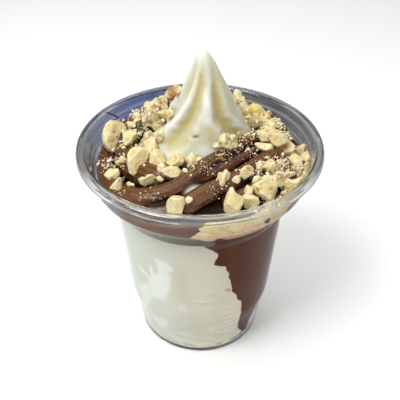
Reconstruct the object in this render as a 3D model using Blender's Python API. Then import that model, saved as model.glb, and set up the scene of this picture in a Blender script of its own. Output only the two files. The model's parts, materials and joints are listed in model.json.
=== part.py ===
"""A clear plastic cup of soft serve ice cream.

The cup holds a vanilla filling with a chocolate pour down one side, a bed of chocolate coils
under chopped nuts, and a fluted vanilla peak. Metres, +Z up. The origin is the centre of the
circle that the cup stands on.
"""

import math
import random

import bmesh
import bpy
from mathutils import Matrix, Vector
from mathutils.bvhtree import BVHTree

FULL_TURN = 2.0 * math.pi
GAP = 0.0003  # between one piece and the next
SHARP_ANGLE = math.radians(35.0)
SIDES = 36  # round the cup, the filling and the bed alike, so that their flats line up

# The cup.
CUP_HEIGHT = 0.098
RIM_RADIUS = 0.049
WALL = 0.0007
CURL_RADIUS = 0.0020  # of the rolled rim, which is open below
CURL_LIP_HEIGHT = 0.0952
CURL_ARC = math.radians(158.0)
LEDGE_HEIGHT = 0.0845  # the sharp ring where the upright band ends
SHOULDER_HEIGHT = 0.0738  # the ring where the flare meets the body
FLOOR_THICKNESS = 0.0009
RECESS_RADIUS = 0.0215
RECESS_DEPTH = 0.0012
BASE_ROUND = 0.0022
WALL_SHAPE = (  # (height, outer radius), from the base up
    (BASE_ROUND, 0.0281),
    (0.0115, 0.0289),
    (0.0150, 0.0294),
    (0.0182, 0.0301),
    (0.0220, 0.0310),
    (0.0250, 0.0316),
    (0.0715, 0.0353),
    (SHOULDER_HEIGHT, 0.0361),
    (0.0790, 0.0396),
    (0.0828, 0.0421),
    (LEDGE_HEIGHT, 0.0434),
    (0.0898, 0.0437),
    (0.0904, 0.0440),
    (0.0936, 0.0442),
    (0.0948, 0.0450),
)

# The vanilla filling.
FILLING_FLOOR = RECESS_DEPTH + FLOOR_THICKNESS + GAP
FILLING_TOP = 0.0742
FILLING_LEVELS = (  # with a ring wherever the wall bends
    FILLING_FLOOR,
    0.0044,
    0.0076,
    *(height for height, _ in WALL_SHAPE[1:6]),
    0.0400,
    0.0560,
    *(height for height, _ in WALL_SHAPE[6:8]),
    FILLING_TOP,
)
HOLLOW_DEPTH = 0.0022  # where the filling hangs clear of the wall at the foot
HOLLOW_ANGLE = math.radians(-22.0)
HOLLOW_SPREAD = math.radians(26.0)
HOLLOW_HEIGHT = 0.012
HOLLOW_RISE = 0.011

# The chocolate pour: (height, angle of its front edge, angle of its back edge).
POUR_EDGES = (
    (0.0070, -46.0, -40.0),
    (0.0100, -50.5, -35.0),
    (0.0156, -53.0, -29.0),
    (0.0245, -55.8, -20.0),
    (0.0326, -56.6, -10.0),
    (0.0375, -61.0, -3.0),
    (0.0449, -66.4, 8.0),
    (0.0547, -70.0, 20.0),
    (0.0600, -72.8, 26.0),
    (0.0611, -77.5, 27.0),
    (0.0622, -81.2, 28.0),
    (0.0637, -80.2, 30.0),
    (0.0696, -78.7, 38.0),
    (0.0718, -81.5, 42.0),
    (FILLING_TOP, -86.0, 46.0),
)
POUR_DEPTH = 0.0065  # at the top, thinning to the tip
POUR_TIP_DEPTH = 0.0030
POUR_EDGE_SHARE = 0.45  # of that depth, at its front and back edges
POUR_ARC_POINTS = 9
PAST_WALL = 1.1  # how far the pour's room is drawn out, so that no skin is left outside it

# The bed of chocolate that carries the coils.
BED_FLOOR = FILLING_TOP + GAP
BED_EDGE = (  # (angle, height) where its top meets the wall
    (-180.0, 0.0818),
    (-150.0, 0.0832),
    (-120.0, 0.0872),
    (-90.0, 0.0898),
    (-45.0, 0.0897),
    (0.0, 0.0886),
    (45.0, 0.0874),
    (90.0, 0.0862),
    (135.0, 0.0846),
    (180.0, 0.0818),
)
BED_CROWN_HEIGHT = 0.0956
BED_SIDE_SHARES = (0.0, 0.42, 0.75, 1.0)  # of its height at the wall, where its side has rings
BED_EDGE_ROUND = 0.0012
BED_TOP_SHARES = (1.0, 0.93, 0.84, 0.70, 0.48, 0.22)  # of the radius, where its top has rings
BED_FALL = 4.4  # how late the top drops towards the edge

# The chocolate coils: the points that each passes over, its radius, and how far it stands proud.
COILS = (
    # the long coil that rises from the left, passes before the peak and runs off to the right
    (
        (
            (-0.0330, 0.0200),
            (-0.0362, 0.0110),
            (-0.0374, 0.0010),
            (-0.0362, -0.0100),
            (-0.0318, -0.0205),
            (-0.0250, -0.0285),
            (-0.0170, -0.0312),
            (-0.0098, -0.0298),
            (-0.0042, -0.0248),
            (0.0017, -0.0185),
            (0.0076, -0.0120),
            (0.0135, -0.0062),
            (0.0195, 0.0003),
            (0.0243, 0.0070),
        ),
        0.0040,
        0.0012,
    ),
    # the coil before it, from the front of the cup
    (
        (
            (-0.0070, -0.0375),
            (0.0005, -0.0325),
            (0.0085, -0.0276),
            (0.0160, -0.0218),
            (0.0245, -0.0125),
            (0.0295, -0.0055),
        ),
        0.0039,
        0.0008,
    ),
    # the one that lies between these two
    (
        (
            (-0.0092, -0.0300),
            (-0.0040, -0.0268),
            (0.0026, -0.0220),
            (0.0099, -0.0158),
            (0.0174, -0.0094),
            (0.0240, -0.0038),
            (0.0285, 0.0010),
        ),
        0.0032,
        0.0002,
    ),
    # the short ones at the right and at the front
    (((0.0262, -0.0020), (0.0303, -0.0090), (0.0326, -0.0160), (0.0310, -0.0230)), 0.0036, 0.0006),
    (((0.0085, -0.0360), (0.0165, -0.0300), (0.0245, -0.0222), (0.0310, -0.0175)), 0.0034, 0.0000),
    (((-0.0190, -0.0352), (-0.0110, -0.0362), (-0.0030, -0.0345)), 0.0032, 0.0000),
    # the broad turn on the left
    (
        (
            (-0.0270, 0.0125),
            (-0.0290, 0.0020),
            (-0.0272, -0.0085),
            (-0.0226, -0.0160),
            (-0.0165, -0.0208),
            (-0.0110, -0.0226),
        ),
        0.0052,
        -0.0006,
    ),
    # the two turns that close the ring behind the peak
    (
        (
            (-0.0315, 0.0080),
            (-0.0285, 0.0180),
            (-0.0200, 0.0270),
            (-0.0080, 0.0320),
            (0.0050, 0.0325),
            (0.0170, 0.0285),
            (0.0260, 0.0205),
            (0.0315, 0.0100),
            (0.0330, -0.0010),
        ),
        0.0042,
        0.0018,
    ),
    (
        (
            (-0.0215, 0.0100),
            (-0.0165, 0.0190),
            (-0.0070, 0.0245),
            (0.0040, 0.0250),
            (0.0150, 0.0205),
            (0.0230, 0.0120),
        ),
        0.0038,
        0.0042,
    ),
)
COIL_ANGLES = (-90.0, -16.0, 20.0, 55.0, 90.0, 125.0, 160.0, 196.0)  # closer on its top
COIL_RING_SPACING = 0.0043
COIL_TIP = 0.12  # share of a coil's length over which each end rounds off
COIL_TIP_SIZE = 0.25  # of its radius, where it ends

# The vanilla peak, piped through a star nozzle.
PEAK_AXIS = (0.0012, 0.0030)
PEAK_FLOOR = 0.0931
PEAK_PROFILE = (  # (height, radius), from its underside to its tip
    (PEAK_FLOOR, 0.0176),
    (0.0952, 0.0189),
    (0.0980, 0.0183),
    (0.1008, 0.0170),
    (0.1040, 0.0155),
    (0.1080, 0.0139),
    (0.1120, 0.0121),
    (0.1160, 0.0103),
    (0.1200, 0.0084),
    (0.1235, 0.0067),
    (0.1268, 0.0052),
    (0.1302, 0.0038),
    (0.1334, 0.0023),
    (0.1343, 0.0013),
    (0.1346, 0.0),
)
PEAK_REACH = (  # (angle, how far its foot reaches there, as a share of the profile)
    (-180.0, 1.06),
    (-141.0, 1.09),
    (-90.0, 0.94),
    (-39.0, 0.84),
    (13.0, 1.05),
    (116.0, 0.97),
    (180.0, 1.06),
)
PEAK_GROOVE_DEPTH = (  # (height, depth of the grooves as a share of the radius)
    (PEAK_FLOOR, 0.10),
    (0.0980, 0.16),
    (0.1030, 0.25),
    (0.1090, 0.29),
    (0.1180, 0.26),
    (0.1270, 0.17),
    (0.1346, 0.0),
)
PEAK_GROOVE_WIDTH = 27.0  # degrees from a groove's line to where it ends, at most
PEAK_FRONT_LEFT = (  # (height, angle) of the groove at the left of the broad front lobe
    (PEAK_FLOOR, -192.0),
    (0.0985, -177.0),
    (0.1045, -146.0),
    (0.1077, -132.0),
    (0.1114, -120.0),
    (0.1170, -107.0),
    (0.1233, -100.0),
    (0.1346, -96.0),
)
PEAK_FRONT_RIGHT = (  # and of the one at its right
    (PEAK_FLOOR, 8.0),
    (0.0974, 1.0),
    (0.1006, -10.0),
    (0.1067, -43.0),
    (0.1116, -56.0),
    (0.1197, -54.0),
    (0.1260, -44.0),
    (0.1346, -38.0),
)
PEAK_FAR_LEFT = (  # and of the next one on the left
    (PEAK_FLOOR, -248.0),
    (0.0985, -226.0),
    (0.1045, -184.0),
    (0.1077, -165.0),
    (0.1116, -150.0),
    (0.1175, -138.0),
    (0.1224, -133.0),
    (0.1346, -124.0),
)
PEAK_BACK_SHARES = (0.33, 0.57, 0.79, 1.0)  # where the rest lie between them, round the back
PEAK_LEAN = (  # (height, how far right of its axis the peak's middle is)
    (PEAK_FLOOR, 0.0),
    (0.1080, 0.0001),
    (0.1200, 0.0005),
    (0.1280, 0.0004),
    (0.1346, -0.0001),
)
PEAK_FRONT_SIDES = 16
PEAK_LOBE_SIDES = 7

# The largest nuts, each a piece of its own: place on the coils, length, width and thickness,
# and turn in degrees.
LARGE_NUTS = (
    ((-0.0362, 0.0112), (0.0096, 0.0084, 0.0062), 20),
    ((-0.0290, 0.0020), (0.0080, 0.0062, 0.0048), 75),
    ((-0.0234, -0.0150), (0.0104, 0.0082, 0.0058), 60),
    ((-0.0110, -0.0214), (0.0094, 0.0054, 0.0046), -8),
    ((-0.0100, -0.0158), (0.0078, 0.0048, 0.0044), 12),
    ((-0.0088, -0.0382), (0.0098, 0.0068, 0.0050), 66),
    ((0.0112, -0.0362), (0.0092, 0.0058, 0.0052), 84),
    ((0.0184, -0.0345), (0.0084, 0.0070, 0.0052), 15),
    ((0.0236, -0.0262), (0.0110, 0.0078, 0.0056), 22),
    ((0.0262, -0.0056), (0.0090, 0.0064, 0.0050), -25),
    ((0.0222, 0.0215), (0.0084, 0.0070, 0.0054), 10),
    ((0.0380, -0.0014), (0.0092, 0.0066, 0.0046), 50),
)
LARGE_NUT_POINTS = 20

# The middling nuts, fused to the coils: place and length.
MIDDLING_NUTS = (
    ((-0.0345, -0.0150), 0.0056),
    ((-0.0302, -0.0218), 0.0066),
    ((-0.0252, -0.0240), 0.0056),
    ((-0.0180, -0.0250), 0.0056),
    ((0.0078, -0.0242), 0.0064),
    ((0.0170, -0.0205), 0.0062),
    ((0.0334, -0.0205), 0.0066),
    ((0.0330, -0.0085), 0.0058),
    ((0.0290, 0.0040), 0.0062),
    ((0.0262, 0.0118), 0.0066),
    ((-0.0262, 0.0235), 0.0062),
    ((-0.0135, 0.0232), 0.0066),
)

# The small nuts, also fused to the coils: how many in each sector, from its first to its last
# angle in degrees and between two radii.
SMALL_NUT_ZONES = (
    (13, -72, -20, 0.026, 0.0385),
    (12, -20, 40, 0.024, 0.0385),
    (7, 40, 80, 0.022, 0.034),
    (3, 80, 112, 0.022, 0.033),
    (6, 112, 170, 0.022, 0.034),
    (4, 170, 235, 0.024, 0.036),
)
MIDDLING_NUT_WIDTH = 0.78  # as a share of its length
MIDDLING_NUT_THICKNESS = 0.66
MIDDLING_NUT_POINTS = 11
SMALL_NUT_LENGTH = (0.0028, 0.0048)
SMALL_NUT_WIDTH = (0.65, 0.95)
SMALL_NUT_THICKNESS = (0.55, 0.80)
SMALL_NUT_POINTS = 9
SMALL_NUT_TRIES = 12  # for each one, before a zone is taken as full
ABOVE_ALL = 0.2  # a height above the whole dessert
SMALL_NUT_CLEARANCE = 0.0009  # from the peak and the large nuts
NUT_RISE = 0.34  # of a nut's centre above what it lies on, as a share of its thickness
SEED = 11


def material(name, colour, roughness, metallic=0.0, transmission=0.0):
    """A Principled material of one colour."""
    made = bpy.data.materials.new(name)
    made.use_nodes = True
    made.diffuse_color = (*colour, 1.0 - 0.7 * transmission)
    shader = made.node_tree.nodes["Principled BSDF"]
    shader.inputs["Base Color"].default_value = (*colour, 1.0)
    shader.inputs["Roughness"].default_value = roughness
    shader.inputs["Metallic"].default_value = metallic
    shader.inputs["Transmission Weight"].default_value = transmission
    return made


def between(value, points):
    """The height of the polyline through points, (x, y) in rising x, at x = value."""
    for (left, low), (right, high) in zip(points, points[1:]):
        if value <= right:
            break
    share = min(max((value - left) / (right - left), 0.0), 1.0)
    return low + share * (high - low)


def round_to(radius, angle, height):
    """The point at that radius and angle about the cup's axis."""
    return Vector((radius * math.cos(angle), radius * math.sin(angle), height))


def wall_radius(height):
    """The outer radius of the cup's wall."""
    return between(height, WALL_SHAPE)


def room_radius(height):
    """How far out food can reach inside the cup, a gap away from the wall."""
    return wall_radius(height) - WALL - GAP


def new_object(name, mesh, look):
    """Puts a mesh in the scene, smooth except along its sharp edges."""
    mesh.name = name
    mesh.materials.clear()
    mesh.materials.append(look)
    mesh.shade_smooth()
    mesh.set_sharp_from_angle(angle=SHARP_ANGLE)
    made = bpy.data.objects.new(name, mesh)
    bpy.context.scene.collection.objects.link(made)
    return made


def wrapped(name, look, sides, rings, place):
    """A closed solid: a grid wound into a tube, its points where place(side, ring) says, and
    its ends filled."""
    tube = bmesh.new()
    bmesh.ops.create_grid(tube, x_segments=sides, y_segments=rings - 1, size=1.0)
    for index, vertex in enumerate(tube.verts):
        ring, side = divmod(index, sides + 1)
        vertex.co = place(side % sides, ring)
    bmesh.ops.remove_doubles(tube, verts=tube.verts, dist=1e-6)
    bmesh.ops.holes_fill(tube, edges=tube.edges, sides=0)
    bmesh.ops.triangulate(tube, faces=tube.faces, quad_method="FIXED")
    bmesh.ops.recalc_face_normals(tube, faces=tube.faces)
    mesh = bpy.data.meshes.new(name)
    tube.to_mesh(mesh)
    tube.free()
    return new_object(name, mesh, look)


def grown(source, distance):
    """A copy of a solid with its faces moved outwards, to cut room for it from another."""
    swollen = bmesh.new()
    swollen.from_mesh(source.data)
    swollen.normal_update()
    moves = [(v, v.normal * v.calc_shell_factor() * distance) for v in swollen.verts]
    for vertex, move in moves:
        vertex.co += move
    mesh = bpy.data.meshes.new("room")
    swollen.to_mesh(mesh)
    swollen.free()
    return new_object("room", mesh, source.data.materials[0])


def combine(base, helpers, operation):
    """Joins the helpers to base, or cuts them from it, and removes them."""
    group = bpy.data.collections.new("helpers")
    bpy.context.scene.collection.children.link(group)
    for helper in helpers:
        bpy.context.scene.collection.objects.unlink(helper)
        group.objects.link(helper)
    boolean = base.modifiers.new(operation.title(), "BOOLEAN")
    boolean.operation = operation
    boolean.solver = "EXACT"
    boolean.operand_type = "COLLECTION"
    boolean.collection = group
    evaluated = base.evaluated_get(bpy.context.evaluated_depsgraph_get())
    mesh = bpy.data.meshes.new_from_object(evaluated)
    base.modifiers.clear()
    base.data = mesh
    for helper in helpers:
        bpy.data.objects.remove(helper)
    bpy.data.collections.remove(group)


def keep_largest_body(target):
    """Deletes what a Boolean left loose or sealed inside, which is all but the largest shell."""
    shells = bmesh.new()
    shells.from_mesh(target.data)
    unseen = set(shells.verts)
    bodies = []
    while unseen:
        body = [unseen.pop()]
        for vertex in body:
            for edge in vertex.link_edges:
                other = edge.other_vert(vertex)
                if other in unseen:
                    unseen.remove(other)
                    body.append(other)
        bodies.append(body)
    largest = max(bodies, key=len)
    loose = [v for body in bodies if body is not largest for v in body]
    bmesh.ops.delete(shells, geom=loose, context="VERTS")
    shells.to_mesh(target.data)
    shells.free()


def make_cup(look):
    """The cup, turned from one outline: up its inside, over the rolled rim, and down its outside."""
    floor = RECESS_DEPTH + FLOOR_THICKNESS
    inner_foot = WALL_SHAPE[0][1] - WALL
    inside = [
        (0.0, floor),
        (inner_foot - BASE_ROUND, floor),
        (inner_foot - 0.3 * BASE_ROUND, floor + 0.3 * BASE_ROUND),
        (inner_foot, floor + BASE_ROUND),
    ]
    inside += [(radius - WALL, height) for height, radius in WALL_SHAPE[1:]]
    curl_centre = RIM_RADIUS - CURL_RADIUS
    curl_height = CUP_HEIGHT - CURL_RADIUS
    over = [
        (
            curl_centre - CURL_RADIUS * math.cos(FULL_TURN / 2 * step / 6),
            curl_height + CURL_RADIUS * math.sin(FULL_TURN / 2 * step / 6),
        )
        for step in range(1, 7)
    ]
    lip = [(RIM_RADIUS, CURL_LIP_HEIGHT), (RIM_RADIUS - WALL, CURL_LIP_HEIGHT)]
    under_radius = CURL_RADIUS - WALL
    under = [
        (
            curl_centre + under_radius * math.cos(CURL_ARC * step / 4),
            curl_height + under_radius * math.sin(CURL_ARC * step / 4),
        )
        for step in range(5)
    ]
    outside = [(radius, height) for height, radius in reversed(WALL_SHAPE)]
    bend = WALL_SHAPE[0][1] - BASE_ROUND
    corner = [
        (
            bend + BASE_ROUND * math.cos(FULL_TURN / 4 * step / 4),
            BASE_ROUND - BASE_ROUND * math.sin(FULL_TURN / 4 * step / 4),
        )
        for step in range(1, 5)
    ]
    below = [(RECESS_RADIUS + 0.0006, 0.0), (RECESS_RADIUS, RECESS_DEPTH), (0.0, RECESS_DEPTH)]
    outline = inside + over + lip + under + outside + corner + below
    mesh = bpy.data.meshes.new("cup")
    edges = [(index, index + 1) for index in range(len(outline) - 1)]
    mesh.from_pydata([(radius, 0.0, height) for radius, height in outline], edges, [])
    cup = new_object("cup", mesh, look)
    turn = cup.modifiers.new("Turn", "SCREW")
    turn.steps = SIDES
    turn.render_steps = SIDES
    turn.use_merge_vertices = True
    turn.merge_threshold = 0.00005
    turn.use_smooth_shade = True
    return cup


def filling_radius(angle, height):
    """The vanilla fills the cup to its wall, except for a hollow at the foot under the pour."""
    across = (angle - HOLLOW_ANGLE + math.pi) % FULL_TURN - math.pi
    along = (height - HOLLOW_HEIGHT) / HOLLOW_RISE
    hollow = HOLLOW_DEPTH * math.exp(-((across / HOLLOW_SPREAD) ** 2) - along * along)
    return room_radius(height) - hollow


def make_filling(look):
    """The vanilla filling, up to where the cup's flare begins."""

    def place(side, ring):
        height = FILLING_LEVELS[ring]
        radius = filling_radius(FULL_TURN * side / SIDES, height)
        if ring == 0:
            radius -= BASE_ROUND
        return round_to(radius, FULL_TURN * side / SIDES, height)

    return wrapped("vanilla_filling", look, SIDES, len(FILLING_LEVELS), place)


def make_pour(look):
    """The chocolate that ran down the right side between the vanilla and the wall."""
    last = POUR_ARC_POINTS - 1

    def place(side, ring):
        height, front, back = POUR_EDGES[ring]
        share = ring / (len(POUR_EDGES) - 1)
        depth = POUR_TIP_DEPTH + (POUR_DEPTH - POUR_TIP_DEPTH) * share
        outer = side < POUR_ARC_POINTS
        step = side if outer else 2 * last + 1 - side
        across = step / last
        angle = math.radians(front + (back - front) * across)
        radius = filling_radius(angle, height)
        if not outer:
            bulge = (1.0 - POUR_EDGE_SHARE) * math.sin(math.pi * across)
            radius -= depth * (POUR_EDGE_SHARE + bulge)
        return round_to(radius, angle, height)

    return wrapped("chocolate_pour", look, 2 * POUR_ARC_POINTS, len(POUR_EDGES), place)


def cut_room_for_pour(filling, pour):
    """Takes the pour's room out of the filling, and the thin skin of vanilla outside it."""
    room = grown(pour, GAP)
    for vertex in room.data.vertices:
        x, y, height = vertex.co
        if math.hypot(x, y) > filling_radius(math.atan2(y, x), height) - 2 * GAP:
            vertex.co.xy *= PAST_WALL
    combine(filling, [room], "DIFFERENCE")
    keep_largest_body(filling)


def bed_edge(angle):
    """The height at which the bed's top meets the wall."""
    return between((math.degrees(angle) + 180.0) % 360.0 - 180.0, BED_EDGE)


def bed_top(x, y):
    """The height of the bed's top under the coils."""
    edge = bed_edge(math.atan2(y, x))
    share = min(math.hypot(x, y) / room_radius(edge), 1.0)
    return edge + (BED_CROWN_HEIGHT - edge) * (1.0 - share**BED_FALL)


def make_bed(look):
    """The solid chocolate that fills the flare and the band of the cup."""
    side_rings = len(BED_SIDE_SHARES)

    def place(side, ring):
        angle = FULL_TURN * side / SIDES
        if ring < side_rings:
            rise = bed_edge(angle) - BED_EDGE_ROUND - BED_FLOOR
            height = BED_FLOOR + rise * BED_SIDE_SHARES[ring]
            return round_to(room_radius(height), angle, height)
        share = BED_TOP_SHARES[ring - side_rings]
        radius = share * (room_radius(bed_edge(angle)) - 0.5 * BED_EDGE_ROUND)
        return round_to(radius, angle, bed_top(radius * math.cos(angle), radius * math.sin(angle)))

    rings = side_rings + len(BED_TOP_SHARES)
    return wrapped("chocolate_swirl", look, SIDES, rings, place)


def smooth_path(points, count):
    """Points at even steps of a Catmull-Rom curve through the given ones."""
    ends = [2 * points[0] - points[1], *points, 2 * points[-1] - points[-2]]
    path = []
    for step in range(count):
        place = step / (count - 1) * (len(points) - 1)
        start = min(int(place), len(points) - 2)
        t = place - start
        a, b, c, d = ends[start : start + 4]
        bend = 2 * a - 5 * b + 4 * c - d
        twist = 3 * b - a - 3 * c + d
        path.append(0.5 * (2 * b + (c - a) * t + bend * t**2 + twist * t**3))
    return path


def make_coil(look, route, radius, proud):
    """One rope of soft serve, laid over the bed."""
    raised = [Vector((x, y, bed_top(x, y) + proud)) for x, y in route]
    length = sum((b - a).length for a, b in zip(raised, raised[1:]))
    count = max(7, round(length / COIL_RING_SPACING))
    path = smooth_path(raised, count)

    def place(side, ring):
        ahead = path[min(ring + 1, count - 1)]
        along = (ahead - path[max(ring - 1, 0)]).normalized()
        across = along.cross(Vector((0, 0, 1))).normalized()
        up = across.cross(along)
        share = ring / (count - 1)
        from_end = min(share, 1.0 - share, COIL_TIP) / COIL_TIP
        rounding = math.sqrt(1.0 - (1.0 - from_end) ** 2)
        size = radius * (COIL_TIP_SIZE + (1.0 - COIL_TIP_SIZE) * rounding)
        angle = math.radians(COIL_ANGLES[side])
        return path[ring] + size * (math.cos(angle) * across + math.sin(angle) * up)

    return wrapped("coil", look, len(COIL_ANGLES), count, place)


def peak_grooves(height):
    """The angles of the peak's grooves at that height, from the front lobe's left one round."""
    left, right, far_left = (
        between(height, line) for line in (PEAK_FRONT_LEFT, PEAK_FRONT_RIGHT, PEAK_FAR_LEFT)
    )
    back = [right + (far_left + 360.0 - right) * share for share in PEAK_BACK_SHARES]
    return [left, right, *back, left + 360.0]


def peak_point(lobe, share, height, radius):
    """The point that far across one of the peak's lobes, where it would be that wide."""
    drop = (PEAK_PROFILE[-1][0] - height) / (PEAK_PROFILE[-1][0] - PEAK_FLOOR)
    start, end = peak_grooves(height)[lobe : lobe + 2]
    angle = start + (end - start) * share
    reach = between((angle + 180.0) % 360.0 - 180.0, PEAK_REACH)
    from_groove = min(share, 1.0 - share) * (end - start)
    near = 1.0 - min(from_groove / min(PEAK_GROOVE_WIDTH, (end - start) / 2), 1.0)
    groove = between(height, PEAK_GROOVE_DEPTH) * near * near * (3.0 - 2.0 * near)
    size = radius * (1.0 + (reach - 1.0) * drop) * (1.0 - groove)
    middle = Vector((PEAK_AXIS[0] + between(height, PEAK_LEAN), PEAK_AXIS[1], 0.0))
    return middle + round_to(size, math.radians(angle), height)


def make_peak(name, look, margin=0.0):
    """The peak, from its flat underside to its rounded tip, or a larger one to cut room for it."""
    spots = [(0, side / PEAK_FRONT_SIDES) for side in range(PEAK_FRONT_SIDES)]
    for lobe in range(1, len(PEAK_BACK_SHARES) + 2):
        spots += [(lobe, side / PEAK_LOBE_SIDES) for side in range(PEAK_LOBE_SIDES)]

    def place(side, ring):
        height, radius = PEAK_PROFILE[ring]
        point = peak_point(*spots[side], height, radius)
        outward = Vector((point.x - PEAK_AXIS[0], point.y - PEAK_AXIS[1], 0.0)).normalized()
        point += margin * outward
        if ring == 0:
            point.z -= margin
        return point

    return wrapped(name, look, len(spots), len(PEAK_PROFILE), place)


def make_nut(name, look, points, size, draw):
    """A chopped nut: the hull of points drawn on a flattened ball."""
    shape = bmesh.new()
    for _ in range(points):
        along = Vector((draw.gauss(0, 1), draw.gauss(0, 1), draw.gauss(0, 1))).normalized()
        shape.verts.new([0.5 * span * part for span, part in zip(size, along)])
    hull = bmesh.ops.convex_hull(shape, input=shape.verts)
    bmesh.ops.delete(shape, geom=hull["geom_interior"], context="VERTS")
    bmesh.ops.recalc_face_normals(shape, faces=shape.faces)
    mesh = bpy.data.meshes.new(name)
    shape.to_mesh(mesh)
    shape.free()
    return new_object(name, mesh, look)


def surface_of(target):
    """The surface of an object, for finding where things rest on it."""
    shape = bmesh.new()
    shape.from_mesh(target.data)
    tree = BVHTree.FromBMesh(shape)
    shape.free()
    return tree


def rest_on(nut, surface, x, y, turn, raised):
    """Lays a nut on the surface at (x, y), turned about the upright and half leaning with it."""
    up = Vector((0, 0, 1))
    spot, upright, _, _ = surface.ray_cast(Vector((x, y, ABOVE_ALL)), -up)
    lean = up.rotation_difference(upright.lerp(up, 0.5)).to_matrix()
    spin = Matrix.Rotation(math.radians(turn), 3, "Z")
    place = Matrix.Translation(spot + raised * upright) @ (lean @ spin).to_4x4()
    nut.data.transform(place)


def clear_of(nut, surfaces, distance):
    """Whether every corner of the nut stays that far from other pieces."""
    corners = [vertex.co for vertex in nut.data.vertices]
    return all(
        surface.find_nearest(corner, distance)[0] is None
        for surface in surfaces
        for corner in corners
    )


def lay_nut(name, look, points, surface, place, size, turn, draw):
    """A nut laid on the surface, and drawn in from the wall where it would reach it."""
    nut = make_nut(name, look, points, size, draw)
    rest_on(nut, surface, *place, turn, NUT_RISE * size[2])
    reach = max(v.co.xy.length - room_radius(v.co.z) for v in nut.data.vertices)
    if reach > 0:
        inwards = Vector((-place[0], -place[1], 0.0)).normalized()
        nut.data.transform(Matrix.Translation(inwards * (reach + GAP)))
    return nut


def make_large_nuts(look, surface, draw):
    """The nuts as large as berries, each lying on the coils."""
    return [
        lay_nut(f"nut_{number:02d}", look, LARGE_NUT_POINTS, surface, place, size, turn, draw)
        for number, (place, size, turn) in enumerate(LARGE_NUTS, 1)
    ]


def make_fused_nuts(look, surface, others, draw):
    """The middling nuts at their places, then the small ones by a seeded draw in each zone, where
    they are clear of the other pieces."""
    nuts = []
    for place, length in MIDDLING_NUTS:
        size = (length, MIDDLING_NUT_WIDTH * length, MIDDLING_NUT_THICKNESS * length)
        turn = draw.uniform(0, 360)
        nuts.append(lay_nut("nut", look, MIDDLING_NUT_POINTS, surface, place, size, turn, draw))
    for count, first, last, near, far in SMALL_NUT_ZONES:
        placed = 0
        for _ in range(count * SMALL_NUT_TRIES):
            if placed == count:
                break
            angle = math.radians(draw.uniform(first, last))
            place = round_to(draw.uniform(near, far), angle, 0.0).xy
            length = draw.uniform(*SMALL_NUT_LENGTH)
            width = length * draw.uniform(*SMALL_NUT_WIDTH)
            size = (length, width, length * draw.uniform(*SMALL_NUT_THICKNESS))
            turn = draw.uniform(0, 360)
            nut = lay_nut("nut", look, SMALL_NUT_POINTS, surface, place, size, turn, draw)
            if clear_of(nut, others, SMALL_NUT_CLEARANCE):
                nuts.append(nut)
                placed += 1
            else:
                bpy.data.objects.remove(nut)
    return nuts


def main():
    for leftover in list(bpy.data.objects):
        bpy.data.objects.remove(leftover)
    clear = material("clear plastic", (0.92, 0.94, 0.95), 0.05, transmission=1.0)
    vanilla = material("vanilla soft serve", (0.86, 0.83, 0.70), 0.45)
    chocolate = material("chocolate soft serve", (0.105, 0.042, 0.022), 0.30)
    nut_look = material("chopped nut", (0.80, 0.62, 0.33), 0.55)
    draw = random.Random(SEED)

    make_cup(clear)
    filling = make_filling(vanilla)
    pour = make_pour(chocolate)
    cut_room_for_pour(filling, pour)
    peak = make_peak("vanilla_peak", vanilla)

    swirl = make_bed(chocolate)
    combine(swirl, [make_coil(chocolate, *coil) for coil in COILS], "UNION")
    keep_largest_body(swirl)
    surface = surface_of(swirl)
    large_nuts = make_large_nuts(nut_look, surface, draw)
    others = [surface_of(piece) for piece in (peak, *large_nuts)]
    combine(swirl, make_fused_nuts(nut_look, surface, others, draw), "UNION")
    keep_largest_body(swirl)
    rooms = [make_peak("room", vanilla, GAP), *(grown(nut, GAP) for nut in large_nuts)]
    for room in rooms:
        combine(swirl, [room], "DIFFERENCE")
    keep_largest_body(swirl)


main()
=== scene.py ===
"""Dresses a clear plastic cup of vanilla soft serve with chocolate ropes and chopped nuts."""

import json
import math
import random

import bmesh
import bpy
import numpy as np
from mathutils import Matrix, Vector, noise
from mathutils.bvhtree import BVHTree

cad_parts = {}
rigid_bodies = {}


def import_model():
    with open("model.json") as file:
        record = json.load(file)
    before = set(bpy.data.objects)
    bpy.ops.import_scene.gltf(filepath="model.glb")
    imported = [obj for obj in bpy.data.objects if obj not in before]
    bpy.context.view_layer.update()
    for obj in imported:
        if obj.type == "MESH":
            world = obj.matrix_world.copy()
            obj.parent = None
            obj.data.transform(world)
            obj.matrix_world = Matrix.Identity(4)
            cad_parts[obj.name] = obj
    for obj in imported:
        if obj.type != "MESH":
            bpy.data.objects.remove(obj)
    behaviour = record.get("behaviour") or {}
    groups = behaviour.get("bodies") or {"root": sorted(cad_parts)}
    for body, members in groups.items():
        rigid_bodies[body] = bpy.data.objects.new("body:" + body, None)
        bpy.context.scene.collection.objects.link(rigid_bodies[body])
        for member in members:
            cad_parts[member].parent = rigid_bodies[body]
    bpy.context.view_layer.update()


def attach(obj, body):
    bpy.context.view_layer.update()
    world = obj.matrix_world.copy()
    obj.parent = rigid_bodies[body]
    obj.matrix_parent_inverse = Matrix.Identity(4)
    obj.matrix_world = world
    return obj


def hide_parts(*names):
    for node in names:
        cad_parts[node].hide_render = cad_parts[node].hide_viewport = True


bl_info = {
    "name": "Cup of ice cream",
    "version": (1, 0, 0),
    "blender": (4, 5, 0),
    "location": "View3D > Sidebar > Dessert",
    "description": "Builds the looks of a soft serve dessert in a clear cup around its solids",
    "category": "Add Mesh",
}

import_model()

FULL_TURN = 2.0 * math.pi
MERGE = 1e-6

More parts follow.
